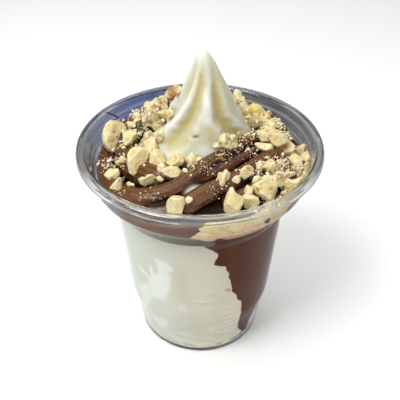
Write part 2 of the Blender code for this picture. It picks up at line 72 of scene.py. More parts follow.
# The cup, as in its solid.
CUP_HEIGHT = 0.098
RIM_RADIUS = 0.049
WALL = 0.0007
CURL_RADIUS = 0.0020
CURL_LIP_HEIGHT = 0.0952
CURL_ARC = math.radians(158.0)
SHARP_ANGLE = 32
RIM_STEPS = 24
RIM_RIDGES, RIM_RIDGE_DEPTH = 8.0, 0.00007  # fine ridges over the rim
LIP_ROUND = 0.0002
FLOOR_THICKNESS = 0.0009
RECESS_RADIUS = 0.0215
RECESS_DEPTH = 0.0012
BASE_ROUND = 0.0022
BASE_TURNS = [math.radians(angle) for angle in range(-90, 1, 15)]  # round the foot's corner
RECESS_EDGE = (  # (how far outside the recess's radius, height) of its soft edge
    (0.0008, 0.0), (0.0002, 0.0003), (-0.0002, RECESS_DEPTH - 0.0002), (-0.0008, RECESS_DEPTH),
)
WALL_SHAPE = (  # (height, outer radius)
    (BASE_ROUND, 0.0281), (0.0115, 0.0289), (0.0150, 0.0294), (0.0182, 0.0301),
    (0.0220, 0.0310), (0.0250, 0.0316), (0.0715, 0.0353), (0.0738, 0.0361),
    (0.0790, 0.0396), (0.0828, 0.0421), (0.0845, 0.0434), (0.0898, 0.0437),
    (0.0904, 0.0440), (0.0936, 0.0442), (0.0948, 0.0450),
)
WALL_BEND = 0.0003  # how far its bends are rounded
LOWEST_RING = 0.0046  # of the wall's points, over its rounded foot
WALL_STEPS = ((LOWEST_RING, 0.002, 33), (0.0706, 0.00035, 70))  # (lowest, spacing, number)
MOULDED_RINGS = (0.0752, 0.0932)  # the heights between which they lie, on the inside
RING_SPACING, RING_DEPTH = 0.0016, 0.00008

# The vanilla filling and the chocolate that ran down beside it.
FILLING_FLOOR = RECESS_DEPTH + FLOOR_THICKNESS - 0.0001
FILLING_TOP = 0.0742
HOLLOW_DEPTH = 0.0022
HOLLOW_ANGLE = math.radians(-22.0)
HOLLOW_SPREAD = math.radians(26.0)
HOLLOW_HEIGHT = 0.012
HOLLOW_RISE = 0.011
FILLING_SPACING, FILLING_RINGS = 0.00058, 121
FOLD_SPACING = 0.0044
FOLD_TOP, FOLD_TOP_RISE = 0.016, 0.022  # how high the folds reach, and how much more in front
FOLD_FADE = 0.012
# The painted shade in a crease and the painted highlight on its lip.
FOLD_SHADE, FOLD_LIGHT, FOLD_LIGHT_RISE = 0.30, 0.32, 0.0014  # how a crease and its lip are tinted
POUR_EDGES = (  # (height, angle of its front edge, angle of its back edge)
    (0.0056, -46.0, -41.0), (0.0070, -48.0, -40.0), (0.0100, -50.8, -39.0),
    (0.0156, -53.5, -34.5), (0.0200, -54.6, -30.5), (0.0245, -54.8, -21.0),
    (0.0320, -56.0, -10.0), (0.0375, -61.0, -3.0), (0.0449, -66.4, 8.0),
    (0.0547, -70.0, 20.0), (0.0600, -72.8, 26.0), (0.0611, -77.5, 27.0),
    (0.0622, -81.2, 28.0), (0.0637, -80.2, 30.0), (0.0660, -79.0, 34.0),
    (0.0685, -78.4, 37.0), (0.0702, -81.5, 40.0), (0.0716, -85.0, 42.0),
    (0.0742, -88.0, 46.0),
)
POUR_THICKNESS = 0.0030
POUR_PROUD = 0.00008  # how much deeper into the wall it reaches than the vanilla
POUR_ARC, POUR_RINGS = 56, 120
POUR_TIP_HEIGHT = 0.010  # it thins towards its foot from there
WALL_SMEAR = ((101, 110), (105, 112), (109, 113), (114, 115.5), (119, 118))  # in the picture
SMEAR_WIDTH, SMEAR_DEPTH = 0.0004, 0.00014
SMEAR_SIDES, SMEAR_RINGS = 8, 40
IN_WALL = 0.00015  # how far food reaches into the wall that it is pressed on

# The chocolate swirl: a bed that fills the flare, and ropes laid over it.
BED_FLOOR = 0.0738
BED_EDGE = (  # (angle, height) where its top meets the wall
    (-180.0, 0.0818), (-150.0, 0.0832), (-120.0, 0.0872), (-90.0, 0.0898), (-45.0, 0.0897),
    (0.0, 0.0886), (45.0, 0.0874), (90.0, 0.0862), (135.0, 0.0846), (180.0, 0.0818),
)
BED_CROWN_HEIGHT = 0.0956
BED_FALL = 4.4
BED_RIPPLES = ((0.0005, 0.010, 1.0), (0.0002, 0.0035, 4.0))  # each (height, size, seed)
BED_SINK = 0.0010  # how far the bed lies below bed_top under the ropes
ROPES = (  # (route seen from above, radius, how far its middle is over the bed)
    (
        (
            (-0.0330, 0.0200), (-0.0362, 0.0110), (-0.0374, 0.0010), (-0.0362, -0.0100),
            (-0.0318, -0.0205), (-0.0250, -0.0285), (-0.0170, -0.0312), (-0.0098, -0.0298),
            (-0.0042, -0.0248), (0.0017, -0.0185), (0.0076, -0.0120), (0.0135, -0.0062),
            (0.0195, 0.0003), (0.0243, 0.0070),
        ),
        0.0040, 0.0012,
    ),
    (
        (
            (-0.0070, -0.0375), (0.0005, -0.0325), (0.0085, -0.0276), (0.0160, -0.0218),
            (0.0245, -0.0125), (0.0295, -0.0055),
        ),
        0.0039, 0.0008,
    ),
    (
        (
            (-0.0092, -0.0300), (-0.0040, -0.0268), (0.0026, -0.0220), (0.0099, -0.0158),
            (0.0174, -0.0094), (0.0240, -0.0038), (0.0285, 0.0010),
        ),
        0.0032, 0.0002,
    ),
    (((0.0262, -0.0020), (0.0303, -0.0090), (0.0326, -0.0160), (0.0310, -0.0230)), 0.0036, 0.0006),
    (((0.0085, -0.0360), (0.0165, -0.0300), (0.0245, -0.0222), (0.0310, -0.0175)), 0.0034, 0.0),
    (((-0.0190, -0.0352), (-0.0110, -0.0362), (-0.0030, -0.0345)), 0.0032, 0.0),
    (
        (
            (-0.0270, 0.0125), (-0.0290, 0.0020), (-0.0272, -0.0085), (-0.0226, -0.0160),
            (-0.0165, -0.0208), (-0.0110, -0.0226),
        ),
        0.0052, -0.0006,
    ),
    (
        (
            (-0.0315, 0.0080), (-0.0285, 0.0180), (-0.0200, 0.0270), (-0.0080, 0.0320),
            (0.0050, 0.0325), (0.0170, 0.0285), (0.0260, 0.0205), (0.0315, 0.0100),
            (0.0330, -0.0010),
        ),
        0.0042, 0.0018,
    ),
    (
        (
            (-0.0215, 0.0100), (-0.0165, 0.0190), (-0.0070, 0.0245), (0.0040, 0.0250),
            (0.0150, 0.0205), (0.0230, 0.0120),
        ),
        0.0038, 0.0042,
    ),
)
ROPE_TIP, ROPE_TIP_SIZE = 0.12, 0.25  # the share of its length that narrows, and to what
ROPE_SWELL, ROPE_TWIST = 0.05, 1.6
ROPE_SIDES = 64
ROPE_RING_SPACING = 0.0007
FLUTES = 14  # fine ridges round each rope
ROPE_RIPPLES = ((0.00010, 0.0022, 2.0), (0.00005, 0.0009, 9.0))
HIGHEST_PRESSED = 0.094  # over that the ropes keep to the wall's radius there
NEAR_WALL = 0.0010  # what is nearer than that is pressed on it, if it lies lower than the edge
CREAM_PATCH = ((194.5, 191.0), (10.0, 6.0))  # (middle, radii): vanilla between two ropes

# The vanilla peak.
PEAK_AXIS = (0.0012, 0.0030)
PEAK_FLOOR = 0.0931
PEAK_TOP = 0.1346
PEAK_PROFILE = (  # (height, radius)
    (0.0931, 0.0176), (0.0952, 0.0189), (0.0980, 0.0183), (0.1008, 0.0170), (0.1040, 0.0155),
    (0.1080, 0.0139), (0.1120, 0.0121), (0.1160, 0.0103), (0.1200, 0.0084), (0.1235, 0.0067),
    (0.1268, 0.0052), (0.1302, 0.0038), (0.1325, 0.0027), (0.1338, 0.0018), (0.1344, 0.0009),
    (0.1346, 0.0),
)
PEAK_REACH = (  # (angle, share of the radius there)
    (-180.0, 1.06), (-141.0, 1.09), (-90.0, 0.94), (-39.0, 0.88), (5.0, 1.12), (30.0, 1.06),
    (116.0, 0.97), (180.0, 1.06),
)
PEAK_GROOVE_DEPTH = (  # (height, share of the radius)
    (0.0931, 0.03), (0.0980, 0.07), (0.1030, 0.15), (0.1090, 0.22), (0.1180, 0.20),
    (0.1250, 0.10), (0.1300, 0.03), (0.1346, 0.0),
)
PEAK_GROOVE_WIDTH = 25.0
PEAK_FRONT_LEFT = (  # (height, angle) of the grooves at both sides of the front lobe
    (0.0931, -158.0), (0.0985, -143.0), (0.1045, -129.0), (0.1077, -124.0), (0.1114, -118.0),
    (0.1170, -110.0), (0.1233, -102.0), (0.1346, -98.0),
)
PEAK_FRONT_RIGHT = (
    (0.0931, 8.0), (0.0974, -6.0), (0.1006, -22.0), (0.1067, -42.0), (0.1116, -55.0),
    (0.1197, -56.0), (0.1260, -46.0), (0.1346, -38.0),
)
PEAK_FAR_LEFT = (  # and of the next one round on the left
    (0.0931, -228.0), (0.0985, -206.0), (0.1045, -182.0), (0.1084, -169.0), (0.1131, -156.0),
    (0.1190, -146.0), (0.1261, -142.0), (0.1346, -132.0),
)
PEAK_BACK_SHARES = (0.33, 0.57, 0.79, 1.0)  # the grooves at the back, between right and far left
PEAK_RINGS = 130
PEAK_VOXEL = 0.00042
PEAK_RIPPLES = ((0.00016, 0.0050, 6.0), (0.00005, 0.0013, 8.0))
PEAK_LEAN = (  # (height, how far its middle is off the axis)
    (0.0931, 0.0), (0.1080, 0.0001), (0.1200, 0.0005), (0.1280, 0.0004), (0.1346, -0.0001),
)

# The view: outlines of nuts are drawn as they are seen from the camera.
CAMERA_PLACE = Vector((0.0, -0.20236, 0.22863))
CAMERA_TILT = math.radians(51.47)
CAMERA_LENS = 54.58
SENSOR = 36.0
PICTURE = 400.0


def srgb(red, green, blue):
    """A linear colour from its 0-255 values."""
    values = (value / 255.0 for value in (red, green, blue))
    return tuple(v / 12.92 if v <= 0.04045 else ((v + 0.055) / 1.055) ** 2.4 for v in values)


def clamped(value):
    """That value, kept between 0 and 1."""
    return min(max(value, 0.0), 1.0)


def between(value, points, soft=False):
    """The height of the line through points, (x, y) in rising x, at x = value."""
    for (left, low), (right, high) in zip(points, points[1:]):
        if value <= right:
            break
    share = clamped((value - left) / (right - left))
    if soft:
        share = share * share * (3.0 - 2.0 * share)
    return low + share * (high - low)


def round_to(radius, angle, height):
    """The point at that radius and angle about the cup's axis."""
    return Vector((radius * math.cos(angle), radius * math.sin(angle), height))


def wall_radius(height):
    """The wall's outer radius, its bends slightly rounded."""
    near = between(height - WALL_BEND, WALL_SHAPE) + between(height + WALL_BEND, WALL_SHAPE)
    return 0.25 * near + 0.5 * between(height, WALL_SHAPE)


def touching_radius(height):
    """How far out food pressed on the wall reaches: just into it, so that no air shows."""
    return wall_radius(height) - WALL + IN_WALL


def ripple(point, size, seed=0.0):
    """Smooth noise from -1 to 1, with bumps about that size."""
    return noise.noise(point / size + Vector((seed, 2.7 * seed, -seed)))


def ripples(point, layers):
    """Ripples of several heights, sizes and seeds, added up."""
    return sum(height * ripple(point, size, seed) for height, size, seed in layers)


# ---------------------------------------------------------------- meshes


def to_mesh(shape, name):
    """The finished mesh of a bmesh, its doubles merged and its faces turned outwards."""
    bmesh.ops.remove_doubles(shape, verts=shape.verts, dist=MERGE)
    bmesh.ops.recalc_face_normals(shape, faces=shape.faces)
    mesh = bpy.data.meshes.new(name)
    shape.to_mesh(mesh)
    shape.free()
    return mesh


def wound(sides, rings, place):
    """A closed body: a grid wound into a tube, its points where place(side, ring) says."""
    tube = bmesh.new()
    bmesh.ops.create_grid(tube, x_segments=sides, y_segments=rings - 1, size=1.0)
    for index, vertex in enumerate(tube.verts):
        ring, side = divmod(index, sides + 1)
        vertex.co = place(side % sides, ring)
    bmesh.ops.remove_doubles(tube, verts=tube.verts, dist=MERGE)
    ends = bmesh.ops.holes_fill(tube, edges=tube.edges, sides=0)["faces"]
    bmesh.ops.triangulate(tube, faces=ends)
    return tube


def spun(outline, sides):
    """The body that an outline of (radius, height) sweeps round the cup's axis."""
    body = bmesh.new()
    line = [body.verts.new((radius, 0.0, height)) for radius, height in outline]
    edges = [body.edges.new(pair) for pair in zip(line, line[1:])]
    bmesh.ops.spin(
        body, geom=line + edges, cent=(0, 0, 0), axis=(0, 0, 1), angle=FULL_TURN,
        steps=sides, use_merge=True,
    )
    return body


def new_piece(mesh, name, look, replaced=(), sharp=None):
    """Puts a finished mesh in the scene as a piece that rides on the cup."""
    mesh.name = name
    mesh.materials.clear()
    mesh.materials.append(look)
    mesh.shade_smooth()
    if sharp:
        mesh.set_sharp_from_angle(angle=math.radians(sharp))
    piece = bpy.data.objects.new(name, mesh)
    bpy.context.scene.collection.objects.link(piece)
    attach(piece, "root")
    if replaced:
        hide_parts(*replaced)
    return piece


def remeshed(mesh, voxel, smoothing=0):
    """One closed skin over all the bodies in a mesh."""
    holder = bpy.data.objects.new("holder", mesh)
    bpy.context.scene.collection.objects.link(holder)
    skin = holder.modifiers.new("Skin", "REMESH")
    skin.mode = "VOXEL"
    skin.voxel_size = voxel
    if smoothing:
        soft = holder.modifiers.new("Soft", "SMOOTH")
        soft.factor = 0.5
        soft.iterations = smoothing
    graph = bpy.context.evaluated_depsgraph_get()
    made = bpy.data.meshes.new_from_object(holder.evaluated_get(graph))
    bpy.data.objects.remove(holder)
    bpy.data.meshes.remove(mesh)
    return made


def points_of(mesh):
    """The mesh's points and their normals, as arrays."""
    points = np.empty(len(mesh.vertices) * 3, np.float32)
    normals = np.empty(len(mesh.vertices) * 3, np.float32)
    mesh.vertices.foreach_get("co", points)
    mesh.vertices.foreach_get("normal", normals)
    return points.reshape(-1, 3).astype(float), normals.reshape(-1, 3).astype(float)


def set_points(mesh, points):
    """Moves the mesh's points there."""
    mesh.vertices.foreach_set("co", np.asarray(points, np.float32).ravel())
    mesh.update()


def set_values(mesh, name, values):
    """Keeps one number per point, for a material to read."""
    kept = mesh.attributes.new(name, "FLOAT", "POINT")
    kept.data.foreach_set("value", np.asarray(values, np.float32))


def cavity(mesh, steps, reach):
    """How far each point lies in a hollow, 1, or on an edge, -1, against its surroundings."""
    points, normals = points_of(mesh)
    ends = np.empty(len(mesh.edges) * 2, np.int32)
    mesh.edges.foreach_get("vertices", ends)
    first, second = ends.reshape(-1, 2).T
    count = np.bincount(ends, minlength=len(points))[:, None]
    soft = points
    for _ in range(steps):
        total = np.stack([
            np.bincount(first, soft[second, axis], len(points))
            + np.bincount(second, soft[first, axis], len(points))
            for axis in range(3)
        ], 1)
        soft = total / count
    return np.clip(((soft - points) * normals).sum(1) / reach, -1.0, 1.0)


def tree_of(*meshes):
    """What rays are cast on: the surfaces of these meshes."""
    points, faces = [], []
    for mesh in meshes:
        start = len(points)
        points += [vertex.co.copy() for vertex in mesh.vertices]
        faces += [[start + i for i in face.vertices] for face in mesh.polygons]
    return BVHTree.FromPolygons(points, faces)


def joined(parts, name):
    """One mesh of several."""
    whole = bmesh.new()
    for part in parts:
        whole.from_mesh(part)
        bpy.data.meshes.remove(part)
    mesh = bpy.data.meshes.new(name)
    whole.to_mesh(mesh)
    whole.free()
    return mesh


# ---------------------------------------------------------------- places in the picture


VIEW_AXIS = Vector((0.0, math.sin(CAMERA_TILT), -math.cos(CAMERA_TILT)))
VIEW_UP = (0.0, math.cos(CAMERA_TILT), math.sin(CAMERA_TILT))


def sight(x, y):
    """The direction from the camera through that place of the picture, in its pixels."""
    across = (x - PICTURE / 2) * SENSOR / CAMERA_LENS / PICTURE
    up = (PICTURE / 2 - y) * SENSOR / CAMERA_LENS / PICTURE
    tilt = CAMERA_TILT
    return Vector((
        across,
        up * math.cos(tilt) + math.sin(tilt),
        up * math.sin(tilt) - math.cos(tilt),
    ))


def seen_on(tree, x, y):
    """What the camera sees of a surface at that place of the picture: point and normal."""
    point, normal, _, _ = tree.ray_cast(CAMERA_PLACE, sight(x, y).normalized())
    return point, normal


def in_picture(points):
    """Where the camera sees points, in the picture's pixels, as an array of two columns."""
    away = np.asarray(points) - np.array(CAMERA_PLACE)
    scale = CAMERA_LENS / SENSOR * PICTURE / (away @ np.array(VIEW_AXIS))
    up = away @ np.array(VIEW_UP)
    return np.stack((PICTURE / 2 + away[:, 0] * scale, PICTURE / 2 - up * scale), 1)


def from_line(places, line):
    """How far each place is from a broken line, or from a point."""
    least = np.full(len(places), np.inf)
    line = np.array(line, float)
    for start, end in zip(line, line[1:] if len(line) > 1 else line):
        along = end - start
        share = np.clip((places - start) @ along / max(along @ along, 1e-9), 0.0, 1.0)
        least = np.minimum(least, np.linalg.norm(places - start - share[:, None] * along, axis=1))
    return least


def stroked(places, strokes):
    """How strongly soft strokes, (line, radius, strength), mark each place."""
    value = np.zeros(len(places))
    for line, radius, strength in strokes:
        near = strength * np.exp(-((from_line(places, line) / radius) ** 2))
        value = np.maximum(value, near)
    return value


def spotted(places, middle, radii, power=2):
    """How strongly a soft oval spot marks each place."""
    return np.exp(-(np.linalg.norm((places - middle) / radii, axis=1) ** power))


def outside(places, corners):
    """How far places lie outside a patch with these corners: less than 0 inside it."""
    corners = np.array(corners)
    along = np.roll(corners, -1, 0) - corners
    across = np.stack([along[:, 1], -along[:, 0]], 1) / np.linalg.norm(along, axis=1)[:, None]
    return ((places[:, None] - corners) * across).sum(2).max(1)


# ---------------------------------------------------------------- materials


# Shades within a finish, which are no settings.
# Painted highlight on the filling's fold lips and the peak's edges and lobes, and the filling's
# whiter patches.
BRIGHT_VANILLA = srgb(246, 249, 250)
SMUDGED_VANILLA = srgb(120, 92, 84)
# Painted shade and oil in the peak's dented hole.
HOLE_SHADE_AND_OIL = srgb(146, 112, 34)
DARK_POUR = srgb(75, 37, 12)
# Painted shade in the chocolate's hollows.
SHADED_HOLLOW_CHOCOLATE = srgb(18, 4, 0)
# Painted highlight on its raised ridges.
LIT_RIDGE_CHOCOLATE = srgb(118, 80, 48)
CREAM = srgb(188, 180, 168)
NUT_MEAL = srgb(224, 214, 176)
NUT_PORES = srgb(186, 158, 98)
# Painted highlight on the nuts' edges.
NUT_EDGE_HIGHLIGHT = srgb(221, 213, 178)
# Painted shade in their hollows.
NUT_HOLLOW_SHADE = srgb(158, 124, 66)
NUT_BLUSH = srgb(204, 162, 126)
NUT_SMEARED = srgb(160, 112, 74)
CRUMB_WHITE = srgb(236, 224, 200)
CRUMB_SKIN = srgb(170, 122, 84)
CRUMB_MOTTLE = srgb(214, 180, 128)


def new_look(name, colour, roughness):
    """A Principled material and its shader."""
    look = bpy.data.materials.new(name)
    look.use_nodes = True
    look.diffuse_color = (*colour, 1.0)
    shader = look.node_tree.nodes["Principled BSDF"]
    shader.inputs["Base Color"].default_value = (*colour, 1.0)
    shader.inputs["Roughness"].default_value = roughness
    return look, shader


def add(tree, kind, inputs=None, **settings):
    """A new node, with its settings and with values or links for its inputs."""
    made = tree.nodes.new(kind)
    for key, value in settings.items():
        setattr(made, key, value)
    for key, value in (inputs or {}).items():
        if isinstance(value, bpy.types.NodeSocket):
            tree.links.new(value, made.inputs[key])
        else:
            made.inputs[key].default_value = value
    return made


def mixed(tree, share, first, second):
    """The colour between two, as a socket."""
    mix = tree.nodes.new("ShaderNodeMix")
    mix.data_type = "RGBA"
    for socket, value in ((mix.inputs[0], share), (mix.inputs[6], first), (mix.inputs[7], second)):
        if isinstance(value, bpy.types.NodeSocket):
            tree.links.new(value, socket)
        else:
            socket.default_value = (*value[:3], 1.0)
    return mix.outputs[2]


def layered(tree, shade, *layers):
    """A colour with others laid over it, each (share, colour), as a socket."""
    for share, colour in layers:
        shade = mixed(tree, share, shade, colour)
    return shade


def ranged(tree, value, low, high, to_low=0.0, to_high=1.0):
    """A value moved from one range to another and kept in it."""
    return add(tree, "ShaderNodeMapRange", {
        0: value, 1: low, 2: high, 3: to_low, 4: to_high,
    }).outputs[0]


def reckoned(tree, operation, first, second):
    """Two values added up or multiplied."""
    return add(tree, "ShaderNodeMath", {0: first, 1: second}, operation=operation).outputs[0]


def placed(tree):
    """The place on the cup, in metres, and its x, y and height."""
    place = add(tree, "ShaderNodeTexCoord").outputs["Object"]
    return place, *add(tree, "ShaderNodeSeparateXYZ", {0: place}).outputs


def kept_value(tree, name):
    """What set_values kept for each point."""
    return add(tree, "ShaderNodeAttribute", attribute_name=name).outputs["Fac"]


def speckled(tree, place, scale, detail=4.0, roughness=0.55, distortion=0.0):
    """Noise over a place, as a value."""
    return add(tree, "ShaderNodeTexNoise", {
        "Vector": place, "Scale": scale, "Detail": detail, "Roughness": roughness,
        "Distortion": distortion,
    }).outputs[0]


def food_grain():
    """Shared by every food: soft mottling, fine grain and a bumpy, unevenly wet surface."""
    name = "Food grain"
    if name in bpy.data.node_groups:
        return bpy.data.node_groups[name]
    group = bpy.data.node_groups.new(name, "ShaderNodeTree")
    sockets = (
        ("Mottle Scale", "INPUT", "NodeSocketFloat", 160.0),
        ("Grain Scale", "INPUT", "NodeSocketFloat", 1400.0),
        ("Bump", "INPUT", "NodeSocketFloat", 0.2),
        ("Mottle", "OUTPUT", "NodeSocketFloat", None),
        ("Grain", "OUTPUT", "NodeSocketFloat", None),
        ("Normal", "OUTPUT", "NodeSocketVector", None),
    )
    for label, way, kind, value in sockets:
        socket = group.interface.new_socket(name=label, in_out=way, socket_type=kind)
        if value is not None:
            socket.default_value = value
    given = group.nodes.new("NodeGroupInput")
    put = group.nodes.new("NodeGroupOutput")
    place = add(group, "ShaderNodeTexCoord").outputs["Object"]
    mottle = speckled(group, place, given.outputs[0], 3.0, 0.5, 0.4)
    grain = speckled(group, place, given.outputs[1], 3.0, 0.6)
    height = add(group, "ShaderNodeMath", {0: mottle, 1: 2.0, 2: grain}, operation="MULTIPLY_ADD")
    bump = add(group, "ShaderNodeBump", {
        "Strength": given.outputs[2], "Distance": 0.0002, "Height": height.outputs[0],
    })
    group.links.new(mottle, put.inputs[0])
    group.links.new(grain, put.inputs[1])
    group.links.new(bump.outputs[0], put.inputs[2])
    return group


def grained(tree, mottle_scale, grain_scale, bump):
    """The shared food grain, placed in a material."""
    node = tree.nodes.new("ShaderNodeGroup")
    node.node_tree = food_grain()
    for socket, value in zip(node.inputs, (mottle_scale, grain_scale, bump)):
        socket.default_value = value
    return node.outputs


def food_finish(tree, shader, shade, bumps, roughness, glow, depth):
    """Gives a food its colour, its uneven skin and the light that spreads inside it."""
    for value, label in ((shade, "Base Color"), (bumps, "Normal"), (roughness, "Roughness")):
        tree.links.new(value, shader.inputs[label])
    shader.inputs["Subsurface Weight"].default_value = glow
    shader.inputs["Subsurface Radius"].default_value = depth
    shader.inputs["Subsurface Scale"].default_value = 1.0


def clear_plastic(settings):
    """Clear plastic that lets lamps through, with painted shade and a painted blue reflection
    round the flare, and glossy at its bends.
    """
    clear = settings.tint
    look, shader = new_look("Clear plastic", clear, settings.roughness)
    shader.inputs["Transmission Weight"].default_value = 1.0
    shader.inputs["IOR"].default_value = 1.17
    shader.inputs["Coat Roughness"].default_value = 0.06
    tree = look.node_tree
    place, x, y, height = placed(tree)
    # Painted shade on the flare's far side and its sides, with a painted blue reflection on the
    # far left.
    far = ranged(tree, y, -0.004, 0.030)
    dark = mixed(tree, ranged(tree, x, -0.004, -0.026), settings.far_shade_tint, settings.blue_reflection_tint)
    sides = mixed(tree, ranged(tree, y, -0.038, -0.020), clear, settings.side_tint)
    # Painted highlight lines along the moulded rings.
    stretched = add(tree, "ShaderNodeMapping", {"Vector": place, "Scale": (14.0, 14.0, 900.0)})
    rings = speckled(tree, stretched.outputs[0], 1.0, 2.0, 0.6)
    rings = ranged(tree, rings, 0.50, 0.66, 0.0, 0.30)
    far_shade = layered(tree, sides, (far, dark), (rings, clear))
    # Less painted shade on the top of the far rim.
    rim = reckoned(tree, "MULTIPLY", ranged(tree, height, 0.0966, 0.0973, 0.0, 0.45), far)
    tint = layered(tree, clear, (ranged(tree, height, 0.0745, 0.0800), far_shade), (rim, clear))
    tree.links.new(tint, shader.inputs["Base Color"])
    gloss = reckoned(
        tree, "ADD",
        ranged(tree, height, 0.0800, 0.0845, 0.0, 0.50),
        ranged(tree, height, 0.0930, 0.0942, 0.0, 0.45),
    )
    tree.links.new(gloss, shader.inputs["Coat Weight"])
    path = add(tree, "ShaderNodeLightPath").outputs["Is Shadow Ray"]
    through = add(tree, "ShaderNodeBsdfTransparent", {"Color": (0.86, 0.87, 0.88, 1.0)})
    both = add(tree, "ShaderNodeMixShader", {0: path, 1: shader.outputs[0], 2: through.outputs[0]})
    tree.links.new(both.outputs[0], tree.nodes["Material Output"].inputs["Surface"])
    return look


def vanilla_look(name, colour, warm, stain_and_shade, mark, gloss):
    """Soft white ice cream: cooler at its left, warmer at its right, and softly lit inside."""
    look, shader = new_look(name, colour, 0.42)
    shader.inputs["Specular IOR Level"].default_value = gloss
    tree = look.node_tree
    mottle, grain, bumps = grained(tree, 120.0, 1500.0, 0.18)
    _, x, _, _ = placed(tree)
    shade = layered(
        tree, colour,
        (ranged(tree, x, -0.030, 0.022), warm),
        (ranged(tree, mottle, 0.35, 0.75, 0.0, 0.25), [0.82 * value for value in warm]),
        # Oil marks, darker strokes, and painted shade in creases and hollows.
        (kept_value(tree, "stain_and_shade"), stain_and_shade),
        # Painted highlight, and the filling's whiter patches.
        (kept_value(tree, "light"), BRIGHT_VANILLA),
        (kept_value(tree, "mark"), mark),
    )
    rough = ranged(tree, grain, 0.3, 0.7, 0.34, 0.52)
    food_finish(tree, shader, shade, bumps, rough, 0.35, (0.0030, 0.0024, 0.0016))
    return look


def chocolate_look(name, colour, dark, roughness, coat):
    """Soft chocolate ice cream: darker where mottled, painted shade in its hollows, painted
    highlight on its ridges, and wet.
    """
    look, shader = new_look(name, colour, roughness)
    shader.inputs["Specular IOR Level"].default_value = 0.08 if coat else 0.03
    shader.inputs["Coat Roughness"].default_value = 0.09
    tree = look.node_tree
    mottle, grain, bumps = grained(tree, 190.0, 1900.0, 0.45)
    bend = kept_value(tree, "cavity")
    shade = layered(
        tree, colour,
        (ranged(tree, mottle, 0.35, 0.68), dark),
        # Painted shade in hollows, and painted highlight on ridges.
        (ranged(tree, bend, 0.0, 0.6, 0.0, 0.95), SHADED_HOLLOW_CHOCOLATE),
        (ranged(tree, bend, -0.15, -0.9, 0.0, 0.55), LIT_RIDGE_CHOCOLATE),
        (kept_value(tree, "cream"), CREAM),
    )
    rough = ranged(tree, grain, 0.35, 0.65, roughness - 0.08, roughness + 0.14)
    food_finish(tree, shader, shade, bumps, rough, 0.12, (0.0018, 0.0009, 0.0005))
    if coat:
        wet = ranged(tree, bend, -0.10, 0.50, coat, 0.10 * coat)
        tree.links.new(wet, shader.inputs["Coat Weight"])
    tree.links.new(bumps, shader.inputs["Coat Normal"])
    return look


def nut_look(name, settings):
    """Chopped nut: pale and mealy, yellower in patches, toasted brown where it was browned,
    painted highlight on its edges and painted shade in its hollows.
    """
    look, shader = new_look(name, settings.pale, 0.55)
    tree = look.node_tree
    mottle, grain, bumps = grained(tree, 330.0, 1500.0, 0.9)
    bend = kept_value(tree, "cavity")
    browned = reckoned(tree, "ADD", kept_value(tree, "toast"), grain)
    browned = reckoned(tree, "ADD", browned, mottle)
    shade = layered(
        tree, settings.pale,
        (ranged(tree, mottle, 0.38, 0.66), settings.yellow),
        (ranged(tree, grain, 0.50, 0.68, 0.0, 0.55), NUT_MEAL),
        (ranged(tree, grain, 0.46, 0.32, 0.0, 0.60), NUT_PORES),
        # Painted highlight on edges, and painted shade in hollows.
        (ranged(tree, bend, -0.10, -0.90, 0.0, 0.70), NUT_EDGE_HIGHLIGHT),
        (ranged(tree, bend, 0.05, 0.90, 0.0, 0.85), NUT_HOLLOW_SHADE),
        (kept_value(tree, "golden"), settings.golden),
        (ranged(tree, browned, 1.25, 2.00, 0.0, 0.85), settings.toasted),
        (ranged(tree, kept_value(tree, "tone"), 0.0, 0.9, 0.0, 0.85), NUT_BLUSH),
        (kept_value(tree, "smear"), NUT_SMEARED),
    )
    rough = ranged(tree, grain, 0.3, 0.7, 0.46, 0.66)
    food_finish(tree, shader, shade, bumps, rough, 0.22, (0.0016, 0.0011, 0.0005))
    return look


def crumb_look(name, settings):
    """Crumbs of many shades: most nearly white, some yellow, and a few with brown skin."""
    look, shader = new_look(name, settings.pale, 0.6)
    tree = look.node_tree
    mottle, grain, bumps = grained(tree, 700.0, 2600.0, 0.4)
    tone = kept_value(tree, "shade")
    shade = layered(
        tree, CRUMB_WHITE,
        (ranged(tree, tone, 0.25, 0.70), settings.pale),
        (ranged(tree, tone, 0.70, 0.90), settings.yellow),
        (ranged(tree, tone, 0.84, 0.90), CRUMB_SKIN),
        (ranged(tree, mottle, 0.45, 0.70, 0.0, 0.4), CRUMB_MOTTLE),
        (kept_value(tree, "toast"), settings.toasted),
    )
    rough = ranged(tree, grain, 0.3, 0.7, 0.45, 0.70)
    food_finish(tree, shader, shade, bumps, rough, 0.15, (0.0008, 0.0006, 0.0004))
    return look


# ---------------------------------------------------------------- the cup


def base_corner(turn):
    """How far inside the wall and above the bottom the foot's rounded corner is there."""
    return BASE_ROUND * (1 - math.cos(turn)), BASE_ROUND * (1 + math.sin(turn))


